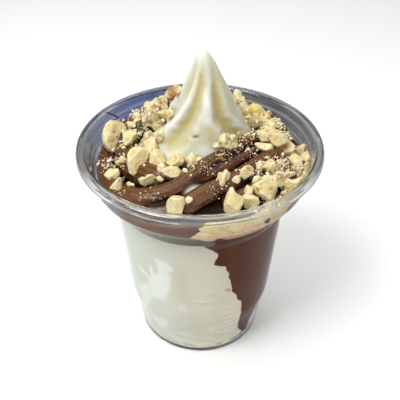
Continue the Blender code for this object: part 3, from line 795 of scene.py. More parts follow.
def cup_outline():
    """The cup's cross-section: up its inside, over the rolled rim, down its outside."""
    floor = RECESS_DEPTH + FLOOR_THICKNESS
    foot = WALL_SHAPE[0][1]
    heights = [low + step * index for low, step, number in WALL_STEPS for index in range(number)]
    heights = [height for height in heights if height < WALL_SHAPE[-1][0]]
    corner = [base_corner(turn) for turn in BASE_TURNS]
    inside = [(0.0, floor)]
    inside += [(foot - WALL - inset, floor + rise) for inset, rise in corner]
    inside += [(wall_radius(height) - WALL + wall_ring(height), height) for height in heights]
    middle = RIM_RADIUS - CURL_RADIUS
    top = CUP_HEIGHT - CURL_RADIUS
    over = []
    for step in range(1, RIM_STEPS + 1):
        angle = math.radians(180.0 - 180.0 / RIM_STEPS * step)
        size = CURL_RADIUS + RIM_RIDGE_DEPTH * (math.cos(RIM_RIDGES * angle) - 1.0)
        over.append((middle + size * math.cos(angle), top + size * math.sin(angle)))
    lip = [
        (RIM_RADIUS, CURL_LIP_HEIGHT + LIP_ROUND),
        (RIM_RADIUS - 0.3 * WALL, CURL_LIP_HEIGHT),
        (RIM_RADIUS - 0.7 * WALL, CURL_LIP_HEIGHT),
        (RIM_RADIUS - WALL, CURL_LIP_HEIGHT + LIP_ROUND),
    ]
    size = CURL_RADIUS - WALL
    turns = [CURL_ARC * step / 12 for step in range(13)]
    under = [(middle + size * math.cos(turn), top + size * math.sin(turn)) for turn in turns]
    outside_wall = [(wall_radius(height), height) for height in reversed(heights)]
    below = [(foot - inset, rise) for inset, rise in reversed(corner)]
    below += [(RECESS_RADIUS + beyond, height) for beyond, height in RECESS_EDGE]
    return inside + over + lip + under + outside_wall + below + [(0.0, RECESS_DEPTH)]


def wall_ring(height):
    """The fine moulded rings inside the cup's flare and band."""
    low, high = MOULDED_RINGS
    ring = RING_DEPTH * math.sin(FULL_TURN * (height - low) / RING_SPACING)
    return ring if low < height < high else 0.0


def build_cup(settings):
    """The clear cup, spun from its cross-section."""
    mesh = to_mesh(spun(cup_outline(), settings.sides), "clear_cup")
    look = clear_plastic(settings)
    return new_piece(mesh, "clear_cup", look, ["cup"], SHARP_ANGLE)


# ---------------------------------------------------------------- filling and pour


def hollow(angle, height):
    """How far the filling hangs clear of the wall at the foot, under the pour."""
    across = (angle - HOLLOW_ANGLE + math.pi) % FULL_TURN - math.pi
    along = (height - HOLLOW_HEIGHT) / HOLLOW_RISE
    return HOLLOW_DEPTH * math.exp(-((across / HOLLOW_SPREAD) ** 2) - along * along)


def folds(angle, height):
    """How deep the creases are that the filling settled in, from 0 to 1: most at its foot."""
    place = round_to(wall_radius(height), angle, height)
    sway = 1.5 * ripple(place, 0.024, 3.0)
    wave = height / FOLD_SPACING + sway + 0.45 * math.sin(angle + 0.6)
    crease = max(0.0, math.cos(FULL_TURN * wave)) ** 2
    patch = clamped(0.35 + 1.9 * ripple(place, 0.011, 7.0))
    top = FOLD_TOP + FOLD_TOP_RISE * max(0.0, math.cos(angle + 1.2)) ** 2
    fade = 1.0 - clamped((height - top) / FOLD_FADE)
    return crease * patch * fade


PATCHES = (  # (corners in the picture, softness of their edges, strength) of whiter vanilla
    (((153, 251), (165, 261.4), (176, 266), (171, 272), (160.5, 277)), 1.8, 0.34),
    (((149, 280), (158, 272), (171, 275), (170, 290), (165, 300), (152, 296)), 4.0, 0.36),
    (((136, 262), (141, 266), (153, 280), (152, 283)), 0.9, 0.35),
    (((149, 264), (153, 268), (156, 286), (153, 288)), 1.0, 0.35),
    (((140, 284), (150, 282), (152, 300), (146, 306)), 2.6, 0.30),
    (((159, 318), (168, 319), (169, 325), (160, 326)), 4.0, 0.50),
    (((151, 313), (158, 316), (170, 329), (160, 326)), 1.4, 0.35),
    (((178, 303), (186, 305), (187, 312), (180, 312)), 3.0, 0.22),
    (((186, 326), (212, 327), (236, 318), (212, 331)), 1.6, 0.30),
)
DARKER_STROKES = (  # (line in the picture, radius, strength) of faintly darker vanilla
    (((180, 274), (186, 300)), 9.0, 0.50),
    (((184, 312), (200, 318)), 6.0, 0.25),
)
SPOT = ((228.0, 289.6), (2.4, 1.3))  # (middle, radii) of a small dark mark beside the pour


def pour_edges(height):
    """The angles of the pour's ragged front and back edges at that height, in degrees."""
    front, back = (
        between(height, [(row[0], row[side]) for row in POUR_EDGES], soft=True) for side in (1, 2)
    )
    ragged = ripple(Vector((0.0, 0.0, height)), 0.0022, 5.0)
    return front + 0.9 * ragged, back - 0.7 * ragged


def under_pour(angle, height):
    """Whether the pour covers that place of the filling's side, well inside its edges."""
    if height < POUR_EDGES[0][0] + 0.002:
        return False
    front, back = pour_edges(height)
    degrees = (math.degrees(angle) - front) % 360.0
    return 3.0 < degrees < back - front - 3.0


def build_filling(settings):
    """The vanilla filling: its body up to the band, and how it is tinted, with painted shade in
    its creases and painted highlight on their lips.
    """
    heights = [LOWEST_RING + FILLING_SPACING * step for step in range(FILLING_RINGS)]
    heights = [height for height in heights if height < FILLING_TOP] + [FILLING_TOP]

    def place(side, ring):
        angle = FULL_TURN * side / settings.sides
        if ring < len(BASE_TURNS):
            inset, rise = base_corner(BASE_TURNS[ring])
            height = FILLING_FLOOR + rise
            radius = WALL_SHAPE[0][1] - WALL + IN_WALL - inset - hollow(angle, height)
            return round_to(radius, angle, height)
        height = heights[ring - len(BASE_TURNS)]
        radius = touching_radius(height) - hollow(angle, height)
        radius -= settings.fold_depth * folds(angle, height)
        if under_pour(angle, height):
            radius -= 0.8 * POUR_THICKNESS
        return round_to(radius, angle, height)

    body = wound(settings.sides, len(BASE_TURNS) + len(heights), place)
    mesh = to_mesh(body, "vanilla_fill")
    points, _ = points_of(mesh)
    seen = in_picture(points)
    front = points[:, 1] < 0.0
    places = [(math.atan2(y, x), height) for x, y, height in points]
    # Painted shade in the creases, and painted highlight on the lip over each.
    shaded = FOLD_SHADE * np.array([folds(angle, height) for angle, height in places])
    light = [folds(angle, height - FOLD_LIGHT_RISE) for angle, height in places]
    light = FOLD_LIGHT * np.array(light)
    for corners, softness, strength in PATCHES:
        near = np.clip(0.5 - outside(seen, corners) / softness, 0.0, 1.0)
        light = np.maximum(light, strength * near * front)
    set_values(mesh, "stain_and_shade", np.maximum(shaded, stroked(seen, DARKER_STROKES) * front))
    set_values(mesh, "light", light)
    set_values(mesh, "mark", 0.8 * (spotted(seen, *SPOT) * front))
    look = vanilla_look(
        "Vanilla", settings.cool, settings.warm, settings.shaded, SMUDGED_VANILLA, 0.05,
    )
    return new_piece(mesh, "vanilla_fill", look, ["vanilla_filling"])


def wall_smear():
    """A thin smear of chocolate that the camera sees on the inside of the flare's far wall."""
    wall = tree_of(bpy.data.objects["clear_cup"].data)
    seen = [seen_on(wall, x, y) for x, y in WALL_SMEAR]
    seen = [hit for hit in seen if hit[0] is not None]
    last = SMEAR_RINGS - 1
    path = smooth_path([point for point, _ in seen], SMEAR_RINGS)

    def place(side, ring):
        along = (path[min(ring + 1, last)] - path[max(ring - 1, 0)]).normalized()
        normal = seen[min(ring * len(seen) // SMEAR_RINGS, len(seen) - 1)][1]
        across = along.cross(normal)
        width = SMEAR_WIDTH * (0.35 + 0.65 * math.sin(math.pi * ring / last))
        width *= 1.0 + 0.5 * ripple(path[ring], 0.0016, 4.0)
        angle = FULL_TURN * side / SMEAR_SIDES
        depth = SMEAR_DEPTH * math.sin(angle)
        return path[ring] + width * math.cos(angle) * across + depth * normal

    return wound(SMEAR_SIDES, SMEAR_RINGS, place)


def build_pour(settings):
    """The chocolate that ran down inside the wall, and its smear on the far wall."""
    low, high = POUR_EDGES[0][0], POUR_EDGES[-1][0]

    def place(side, ring):
        height = low + (high - low) * ring / (POUR_RINGS - 1)
        front, back = pour_edges(height)
        outer = side <= POUR_ARC
        across = (side if outer else 2 * POUR_ARC + 1 - side) / POUR_ARC
        angle = math.radians(front + (back - front) * across)
        radius = touching_radius(height) + POUR_PROUD
        if not outer:
            tip = 0.35 + 0.65 * min((height - low) / POUR_TIP_HEIGHT, 1.0)
            radius -= POUR_THICKNESS * tip * (0.10 + 0.90 * math.sin(math.pi * across) ** 0.5)
            radius -= 0.9 * hollow(angle, height)
        return round_to(radius, angle, height)

    shapes = (wound(2 * (POUR_ARC + 1), POUR_RINGS, place), wall_smear())
    mesh = joined([to_mesh(shape, "part") for shape in shapes], "chocolate_run")
    look = chocolate_look(
        "Chocolate against the wall", settings.pour_colour, DARK_POUR, 0.45, 0.0,
    )
    return new_piece(mesh, "chocolate_run", look, ["chocolate_pour"])


# ---------------------------------------------------------------- swirl


def bed_edge(angle):
    """The height at which the bed's top meets the wall."""
    return between((math.degrees(angle) + 180.0) % 360.0 - 180.0, BED_EDGE)


def bed_top(x, y):
    """The height of the bed's top under the ropes."""
    edge = bed_edge(math.atan2(y, x))
    share = min(math.hypot(x, y) / touching_radius(edge), 1.0)
    return edge + (BED_CROWN_HEIGHT - edge) * (1.0 - share**BED_FALL)


def bed():
    """The chocolate that fills the flare and the band of the cup."""
    sides, side_rings, top_rings = 144, 20, 40

    def place(side, ring):
        angle = FULL_TURN * side / sides
        edge = bed_edge(angle)
        if ring < side_rings:
            height = BED_FLOOR + (edge - BED_FLOOR) * ring / side_rings
            return round_to(touching_radius(height), angle, height)
        share = 1.0 - (ring - side_rings) / top_rings
        point = round_to(share * touching_radius(edge), angle, 0.0)
        inwards = min(1.0, 7.0 * (1.0 - share))
        sway = ripples(point, BED_RIPPLES)
        point.z = bed_top(point.x, point.y) + (sway - BED_SINK) * inwards
        return point

    return wound(sides, side_rings + top_rings, place)


def smooth_path(points, count):
    """Points at even steps of a Catmull-Rom curve through the given ones."""
    ends = [2 * points[0] - points[1], *points, 2 * points[-1] - points[-2]]
    path = []
    for step in range(count):
        place = step / (count - 1) * (len(points) - 1)
        start = min(int(place), len(points) - 2)
        t = place - start
        a, b, c, d = ends[start : start + 4]
        bend = 2 * a - 5 * b + 4 * c - d
        twist = 3 * b - a - 3 * c + d
        path.append(0.5 * (2 * b + (c - a) * t + bend * t**2 + twist * t**3))
    return path


def rope(route, radius, proud, flute_depth, seed):
    """One rope of soft serve, finely fluted by the nozzle that drew it."""
    raised = [Vector((x, y, bed_top(x, y) + proud)) for x, y in route]
    length = sum((b - a).length for a, b in zip(raised, raised[1:]))
    count = round(length / ROPE_RING_SPACING)
    path = smooth_path(raised, count)

    def place(side, ring):
        ahead = path[min(ring + 1, count - 1)]
        along = (ahead - path[max(ring - 1, 0)]).normalized()
        across = along.cross(Vector((0, 0, 1))).normalized()
        up = across.cross(along)
        share = ring / (count - 1)
        from_end = min(share, 1.0 - share, ROPE_TIP) / ROPE_TIP
        rounding = math.sqrt(1.0 - (1.0 - from_end) ** 2)
        size = radius * (ROPE_TIP_SIZE + (1.0 - ROPE_TIP_SIZE) * rounding)
        size *= 1.0 + ROPE_SWELL * ripple(path[ring], 0.006, seed)
        angle = FULL_TURN * side / ROPE_SIDES
        flute = abs(math.sin(FLUTES / 2.0 * angle + ROPE_TWIST * share + seed)) - 0.6
        size += flute_depth * flute * rounding
        return path[ring] + size * (math.cos(angle) * across + math.sin(angle) * up)

    return wound(ROPE_SIDES, count, place)


def build_swirl(settings):
    """The chocolate swirl: ropes on their bed under one skin, pressed on the wall."""
    shapes = [bed()]
    shapes += [rope(*row, settings.flute_depth, 1.7 * index) for index, row in enumerate(ROPES)]
    whole = joined([to_mesh(shape, "part") for shape in shapes], "swirl")
    mesh = remeshed(whole, settings.voxel, 1)
    points, normals = points_of(mesh)
    for point, normal in zip(points, normals):
        x, y, height = point
        out = math.hypot(x, y)
        touching = touching_radius(min(height, HIGHEST_PRESSED))
        low = height < bed_edge(math.atan2(y, x)) - NEAR_WALL
        if out > touching or low and out > touching - NEAR_WALL:
            point[:2] *= touching / out
        elif normal[2] > -0.5:
            point += ripples(Vector(point), ROPE_RIPPLES) * normal
    set_points(mesh, points)
    # The hollows and ridges that the chocolate's painted shade and painted highlight follow.
    bend = 0.6 * cavity(mesh, 12, 0.00028) + cavity(mesh, 70, 0.0013)
    set_values(mesh, "cavity", np.clip(bend, -1.0, 1.0))
    cream = spotted(in_picture(points), *CREAM_PATCH, power=4)
    set_values(mesh, "cream", cream * np.clip(1.5 * bend + 0.5, 0.0, 1.0))
    look = chocolate_look("Chocolate soft serve", settings.colour, settings.dark, 0.34, 0.40)
    return new_piece(mesh, "chocolate_ropes", look, ["chocolate_swirl"])


# ---------------------------------------------------------------- peak


OIL_AND_GROOVE_SHADE = (  # (line in the picture, radius, strength) of yellow oil soaked in from the nuts, and of painted shade along the grooves
    (
        ((200, 82), (197.8, 95), (194, 108), (188, 120), (180, 130), (173, 139), (168, 150)),
        7.5, 0.62,
    ),
    (((215, 86), (217, 97), (219, 110), (222, 123), (233, 132), (244, 137)), 6.0, 0.66),
    (((216.5, 94), (218, 106)), 2.6, 0.9),
    (((170, 142), (180, 146), (188, 141)), 8.0, 0.50),
    (((200.5, 75), (200.5, 77.5)), 2.4, 1.0),
    (((210, 130), (211, 138)), 4.5, 0.60),
    (((218, 79), (220, 81)), 1.6, 0.7),
    (((187.5, 98),), 1.0, 0.6),
)
HIGHLIT_LOBES = (  # the same, of painted highlight on the lobes
    (((161, 150), (166, 157), (178, 158)), 6.0, 0.35),
    (((203, 150), (207, 156)), 6.0, 0.30),
    (((205, 92), (207, 110), (206, 122)), 4.0, 0.30),
    (((184, 98), (176, 115), (166, 130)), 5.0, 0.25),
    (((236, 122), (243, 131)), 4.0, 0.30),
)
# A dented hole, painted dark brown-olive: painted shade and oil.
HOLE = ((195.5, 137.2), (3.0, 1.7))  # (middle, radii) in the picture
HOLE_DEPTH = 0.0007


def peak_grooves(height):
    """The angles of the peak's grooves at that height, from the front lobe's left one round."""
    lines = (PEAK_FRONT_LEFT, PEAK_FRONT_RIGHT, PEAK_FAR_LEFT)
    left, right, far_left = (between(height, line, soft=True) for line in lines)
    back = [right + (far_left + 360.0 - right) * share for share in PEAK_BACK_SHARES]
    return [left, right, *back, left + 360.0]


def peak_point(lobe, share, height):
    """The point that far across one of the peak's lobes, at that height."""
    radius = between(height, PEAK_PROFILE)
    drop = (PEAK_TOP - height) / (PEAK_TOP - PEAK_FLOOR)
    start, end = peak_grooves(height)[lobe : lobe + 2]
    angle = start + (end - start) * share
    reach = between((angle + 180.0) % 360.0 - 180.0, PEAK_REACH, soft=True)
    from_groove = min(share, 1.0 - share) * (end - start)
    near = 1.0 - min(from_groove / min(PEAK_GROOVE_WIDTH, (end - start) / 2), 1.0)
    groove = between(height, PEAK_GROOVE_DEPTH) * near * near * (3.0 - 2.0 * near)
    size = radius * (1.0 + (reach - 1.0) * drop) * (1.0 - groove)
    middle = Vector((PEAK_AXIS[0] + between(height, PEAK_LEAN), PEAK_AXIS[1], 0.0))
    return middle + round_to(size, math.radians(angle), height)


def build_peak(settings):
    """The lobed vanilla peak, drawn up from its grooves, where oil soaked into it, with painted
    shade in its grooves and hollows and painted highlight on its edges and lobes.
    """
    sides = settings.lobe_sides

    def place(side, ring):
        lobe, step = divmod(side, sides)
        rise = ring / (PEAK_RINGS - 1)
        height = PEAK_FLOOR + (PEAK_TOP - PEAK_FLOOR) * math.sin(rise * math.pi / 2) ** 1.15
        return peak_point(lobe, step / sides, height)

    body = wound((len(PEAK_BACK_SHARES) + 2) * sides, PEAK_RINGS, place)
    mesh = remeshed(to_mesh(body, "peak"), PEAK_VOXEL, 3)
    points, normals = points_of(mesh)
    seen = in_picture(points)
    front = (normals[:, 1] < 0.25).astype(float)
    hole = spotted(seen, *HOLE) * front
    lift = np.array([ripples(Vector(point), PEAK_RIPPLES) for point in points])
    points += normals * (lift - HOLE_DEPTH * hole)[:, None]
    set_points(mesh, points)
    bend = cavity(mesh, 20, 0.00035)
    # Oil, and painted shade along the grooves and in the hollows.
    stain_and_shade = stroked(seen, OIL_AND_GROOVE_SHADE) * front + 0.25 * np.clip(bend, 0.0, 1.0)
    # Painted highlight on raised edges and on the lobes.
    edges = 0.35 * np.clip(-1.3 * bend - 0.1, 0.0, 1.0)
    pale = edges + stroked(seen, HIGHLIT_LOBES) * front
    for name, values in (("stain_and_shade", stain_and_shade), ("light", pale), ("mark", hole)):
        set_values(mesh, name, np.clip(values, 0.0, 1.0))
    look = vanilla_look(
        "Vanilla peak", settings.colour, settings.warm, settings.oil, HOLE_SHADE_AND_OIL, 0.35,
    )
    return new_piece(mesh, "vanilla_swirl_peak", look, ["vanilla_peak"])


# ---------------------------------------------------------------- nuts


VIEW_CORNER = 95.0  # outlines are drawn in sevenths of the picture's pixels, from this corner
VIEW_STEPS = 7.0
HEAP_STEPS, HEAP_STEP = 6, 12.0  # how far down the ground of a heaped piece is looked for
NUT_LAYERS = ((-0.50, 0.80), (-0.15, 1.04), (0.20, 1.02), (0.62, 0.70))  # (rise, scale) of rings
NUT_LIFT = 0.42  # how high a piece's middle lies over its ground, over its height
NUT_HIDDEN = 0.0002  # how deep the ground may hide its outline before it is moved nearer
NUT_SHIFT = 0.40  # how far it is moved at most, over its height
NUT_TILT = 0.28
CUT_REACH = (0.52, 0.86)  # the share of its reach that a cut leaves, at least and at most
NUT_VOXEL, MIDDLING_VOXEL = 0.00026, 0.00034
LARGE_NUTS = (  # (node, thickness over width, how upright it stands, cut faces, outline)
    ("nut_01", 0.8, 0.5, 7, (
        (60, 265), (75, 235), (110, 205), (150, 190), (205, 178), (238, 188), (225, 215),
        (198, 235), (175, 270), (160, 320), (155, 370), (125, 386), (92, 375), (62, 345),
        (50, 300),
    )),
    ("nut_02", 0.8, 0.5, 7, (
        (193, 262), (215, 240), (245, 232), (285, 260), (303, 285), (270, 305), (260, 335),
        (215, 357), (192, 330), (202, 290),
    )),
    ("nut_03", 0.6, 0.5, 7, (
        (225, 430), (245, 398), (290, 368), (325, 360), (367, 395), (370, 440), (335, 480),
        (310, 500), (285, 545), (262, 557), (238, 535), (225, 480),
    )),
    ("nut_04", 1.0, 0.95, 0, (
        (444, 540), (470, 513), (530, 497), (580, 506), (615, 542), (620, 578), (584, 602),
        (530, 598), (474, 574),
    )),
    ("nut_05", 0.8, 0.6, 7, (
        (497, 475), (508, 428), (545, 400), (590, 408), (622, 440), (625, 480), (580, 502),
        (530, 497),
    )),
    ("nut_06", 0.6, 0.6, 7, (
        (490, 780), (510, 735), (545, 705), (595, 698), (622, 715), (637, 745), (622, 780),
        (605, 832), (560, 850), (500, 838),
    )),
    ("nut_07", 0.6, 0.8, 3, (
        (903, 760), (920, 700), (945, 650), (965, 645), (990, 690), (1040, 715), (1035, 765),
        (1010, 812), (960, 835), (903, 825),
    )),
    ("nut_08", 0.7, 0.5, 7, (
        (1030, 735), (1050, 702), (1100, 698), (1150, 718), (1172, 745), (1132, 785), (1060, 808),
        (1030, 795),
    )),
    ("nut_09", 0.6, 0.5, 7, (
        (1100, 640), (1140, 608), (1200, 588), (1262, 598), (1305, 625), (1300, 680), (1262, 720),
        (1200, 738), (1150, 702), (1108, 682),
    )),
    ("nut_10", 0.6, 0.45, 7, (
        (1118, 318), (1180, 328), (1250, 350), (1243, 388), (1200, 396), (1150, 376), (1122, 345),
    )),
    ("nut_11", 0.8, 0.5, 7, (
        (1065, 98), (1080, 72), (1112, 58), (1152, 70), (1187, 108), (1172, 142), (1120, 157),
        (1078, 142),
    )),
    ("nut_12", 0.5, 0.8, 3, (
        (1362, 425), (1400, 380), (1440, 350), (1482, 333), (1482, 385), (1455, 430), (1405, 455),
    )),
)
MIDDLING_NUTS = (  # (thickness over width, outline)
    (0.7, ((60, 555), (90, 520), (130, 506), (167, 520), (177, 560), (150, 587), (100, 594))),
    (0.6, ((78, 628), (120, 592), (165, 570), (187, 582), (183, 650), (168, 670), (112, 660))),
    (0.7, ((207, 628), (240, 598), (262, 612), (266, 640), (290, 648), (284, 670), (246, 670))),
    (0.7, (
        (300, 592), (335, 570), (360, 578), (368, 558), (402, 554), (427, 580), (415, 615),
        (375, 630), (345, 643), (318, 620),
    )),
    (0.7, ((422, 578), (455, 564), (484, 590), (470, 612), (438, 606))),
    (0.7, ((632, 445), (655, 430), (680, 400), (713, 438), (712, 490), (680, 512), (648, 490))),
    (0.7, ((598, 505), (640, 508), (652, 540), (620, 548))),
    (0.7, ((380, 440), (425, 412), (455, 440), (460, 480), (440, 500), (400, 490))),
    (0.7, ((445, 470), (490, 465), (512, 500), (470, 522), (440, 505))),
    (0.7, ((363, 332), (400, 303), (432, 320), (436, 372), (412, 402), (384, 386))),
    (0.7, ((622, 730), (650, 706), (685, 714), (681, 745), (650, 763), (630, 748))),
    (0.6, (
        (845, 545), (870, 530), (890, 552), (915, 523), (946, 545), (941, 578), (915, 600),
        (905, 632), (868, 640), (839, 617), (835, 580),
    )),
    (0.8, (
        (1018, 522), (1050, 498), (1080, 489), (1112, 515), (1106, 556), (1070, 577), (1048, 590),
        (1018, 560),
    )),
    (0.8, ((958, 592), (985, 559), (1026, 555), (1031, 590), (1000, 622), (965, 607))),
    (0.9, ((1127, 488), (1148, 459), (1180, 468), (1187, 500), (1160, 532), (1134, 516))),
    (0.8, ((1039, 656), (1070, 627), (1106, 655), (1101, 690), (1070, 706), (1044, 690))),
    (0.6, (
        (1300, 600), (1340, 585), (1385, 598), (1448, 576), (1440, 612), (1400, 652), (1350, 684),
        (1305, 690), (1290, 640),
    )),
    (0.8, ((258, 140), (285, 103), (327, 132), (322, 160), (272, 164))),
    (0.7, (
        (1284, 356), (1300, 331), (1331, 317), (1365, 336), (1396, 362), (1387, 398), (1367, 439),
        (1356, 471), (1329, 460), (1303, 428), (1287, 397),
    )),
)
LUMPS = (  # (x, y in the picture, width, height in its pixels, turn) of plain rounded pieces
    (237.5, 96, 6, 7, -25), (240, 101, 8, 9, 10), (242.5, 108.5, 8, 8, 20), (247, 111, 8, 9, 0),
    (248.5, 116.5, 9, 8, 10), (253.1, 120.6, 13, 11, 5), (264.8, 116.5, 9, 10, 15),
    (261.4, 121.5, 8, 8, 0), (269.2, 125.2, 10, 11, -20), (252.0, 127.5, 8, 7, 0),
    (260.9, 126.3, 9, 8, 0), (266.6, 131, 13, 8, 10), (257.5, 130, 7, 6, 0),
    (263.7, 138.3, 13, 12, 0), (270.3, 136, 10, 9, 0), (278.1, 138.6, 13, 12, 12),
    (295.3, 161, 10, 10, 0), (301.4, 162, 10, 9, 0), (305.9, 166, 9, 10, 0),
    (297.6, 168.5, 10, 9, 30), (303.1, 173, 9, 7, 0), (307, 158, 7, 9, 0), (290.9, 173, 7, 5, 0),
    (272, 167.2, 11, 10, 20), (280.9, 174, 7, 6, 0), (257.6, 180, 8, 7, 0), (277, 181.2, 12, 8, 0),
    (267.6, 179.6, 10, 6, 0), (225.3, 139, 8, 8, 0), (231.4, 139.6, 10, 7, 0),
    (227.6, 145, 10, 7, 0), (233.7, 144, 6, 6, 0), (153.1, 112.8, 10, 12, 0),
    (150.3, 105, 10, 6, -20), (156.4, 104, 9, 6, -20), (161, 107.2, 9, 8, 0),
    (164.2, 116.1, 12, 9, 10), (158.7, 126.1, 9, 10, -10), (168.7, 114, 8, 6, 0),
    (168.7, 95, 7, 7, -40), (173.1, 91.7, 7, 7, -40), (176.8, 89, 7, 7, -40),
    (163.2, 99.6, 7, 6, 0), (148.7, 136.3, 9, 8, 0), (143.7, 143.3, 6, 6, 0),
    (121.4, 160, 7, 6, 0), (118.2, 163, 4, 4, 0), (137.6, 121.7, 6, 6, 0), (132, 125, 6, 5, 0),
    (145.3, 120.6, 6, 5, 0), (144.2, 115.5, 6, 5, 0), (217, 146, 6, 5, 0), (152, 147, 12, 15, 10),
    (156.5, 161, 12, 14, 0), (148, 153, 6, 8, 0), (161, 168, 6, 5, 0), (158, 137, 9, 8, 0),
    (146, 127, 5, 5, 0), (161, 133, 5, 7, 0), (192, 158, 7, 8, 0), (198, 160, 5, 6, 0),
)
HEAPS = (  # (x, y in the picture, spread in pixels, number, least and greatest size) of bits
    (238, 96, 5, 9, 0.0012, 0.0022), (245, 108, 6, 12, 0.0012, 0.0026),
    (250, 119, 8, 16, 0.0016, 0.0034), (262, 124, 8, 16, 0.0016, 0.0034),
    (262, 133, 10, 14, 0.0014, 0.0030), (274, 137, 7, 8, 0.0014, 0.0028),
    (288, 156, 6, 8, 0.0012, 0.0026), (301, 165, 8, 22, 0.0012, 0.0028),
    (306, 157, 5, 8, 0.0010, 0.0022), (272, 168, 6, 9, 0.0010, 0.0022),
    (272, 178, 12, 20, 0.0010, 0.0024), (290, 178, 8, 10, 0.0012, 0.0026),
    (228, 141, 9, 16, 0.0012, 0.0026), (155, 113, 8, 9, 0.0010, 0.0020),
    (159, 106, 8, 9, 0.0010, 0.0022), (158, 121, 6, 10, 0.0012, 0.0026),
    (173, 92, 8, 34, 0.0010, 0.0024), (192, 162, 8, 8, 0.0010, 0.0020),
    (276, 122, 7, 18, 0.0012, 0.0026), (286, 140, 6, 12, 0.0012, 0.0026),
    (153, 133, 8, 9, 0.0009, 0.0020), (120, 161, 5, 6, 0.0008, 0.0016),
    (112, 172, 6, 5, 0.0010, 0.0020), (256, 207, 9, 12, 0.0014, 0.0032),
    (272, 202, 9, 14, 0.0014, 0.0034), (287, 192, 8, 10, 0.0014, 0.0030),
    (300, 180, 7, 9, 0.0012, 0.0028),
)
TOASTED = (  # (place in the picture, radius) of browned skin
    ((248.5, 168.5), 3.6), ((285.0, 146.0), 5.0), ((270.5, 135.4), 3.6), ((258.0, 189.0), 2.6),
    ((271.0, 188.5), 2.6), ((114.0, 132.0), 2.2), ((113.0, 141.0), 1.8), ((172.5, 91.5), 9.5),
    ((252.0, 115.0), 2.6), ((112.0, 178.0), 1.6), ((176.0, 157.0), 2.0), ((195.0, 100.0), 0.6),
    ((153.0, 112.0), 3.0), ((261.0, 188.0), 1.6), ((311.0, 152.0), 4.5), ((236.0, 103.0), 1.6),
    ((127.0, 119.0), 2.0),
)
GOLDEN = (((253.0, 110.0), 6.5), ((166.0, 116.0), 3.5), ((232.0, 101.0), 3.5))
WALL_NUTS = (  # stretches of the band that nuts are pressed on: (angle, lowest, highest)
    (
        (-98.0, 0.0854, 0.0872), (-91.0, 0.0842, 0.0888), (-87.0, 0.0816, 0.0900),
        (-60.0, 0.0810, 0.0902), (-25.0, 0.0826, 0.0900), (12.0, 0.0842, 0.0892),
    ),
    ((20.0, 0.0848, 0.0884), (76.0, 0.0844, 0.0870)),
    ((102.0, 0.0842, 0.0864), (124.0, 0.0836, 0.0856)),
    ((-164.0, 0.0812, 0.0832), (-142.0, 0.0822, 0.0842)),
)
BAND_RADIUS = 0.0434
BAND_NUT_SPAN, BAND_NUT_LEAST = 0.0044, 0.0005  # how much larger the first is, the last's size
BAND_NUT_RIPPLES = ((0.0006, 0.0016, 11.0), (0.0005, 0.0008, 12.0))
BAND_NUT_DEPTH = 0.0032
BAND_NUT_STEP, BAND_NUT_RINGS = 0.0003, 36
BAND_NUT_CREASE, BAND_NUT_SMEAR = 0.0006, 0.0007  # how wide the creases between them are
BAND_NUT_MIDDLE = 0.0868
NUT_TRIES = 5000
NUT_RELIEF = 0.0007  # how far back the gaps lie where one is missing


def picture_place(x, y):
    """A place of an outline, in the picture's pixels."""
    return VIEW_CORNER + x / VIEW_STEPS, VIEW_CORNER + y / VIEW_STEPS


def lump_outline(x, y, width, height, turn, draw):
    """An irregular outline of that size, for a rounded piece."""
    corners = []
    turned = math.radians(turn)
    for step in range(9):
        angle = FULL_TURN * (step + draw.uniform(-0.22, 0.22)) / 9
        reach = draw.uniform(0.60, 0.80)
        across, up = width * reach * math.cos(angle), height * reach * math.sin(angle)
        corners.append((
            (x + across * math.cos(turned) - up * math.sin(turned) - VIEW_CORNER) * VIEW_STEPS,
            (y + across * math.sin(turned) + up * math.cos(turned) - VIEW_CORNER) * VIEW_STEPS,
        ))
    return corners


def any_way(draw):
    """A random direction."""
    return Vector([draw.gauss(0, 1) for _ in range(3)]).normalized()


def cut_flat(shape, facing, reach):
    """Cuts off what lies beyond that reach towards one side, and closes the cut."""
    cut = bmesh.ops.bisect_plane(
        shape, geom=[*shape.verts, *shape.edges, *shape.faces],
        plane_co=facing * reach, plane_no=facing, clear_outer=True,
    )["geom_cut"]
    edges = [part for part in cut if isinstance(part, bmesh.types.BMEdge)]
    bmesh.ops.holes_fill(shape, edges=edges, sides=0)


def broken(shape, number, towards, draw):
    """Breaks flat faces off a body, most of them on one side."""
    for _ in range(number):
        facing = (any_way(draw) + 1.1 * towards).normalized()
        reaches = [vertex.co.dot(facing) for vertex in shape.verts]
        middle, reach = (max(reaches) + min(reaches)) / 2, (max(reaches) - min(reaches)) / 2
        cut_flat(shape, facing, middle + reach * draw.uniform(*CUT_REACH))
    bmesh.ops.triangulate(shape, faces=shape.faces)


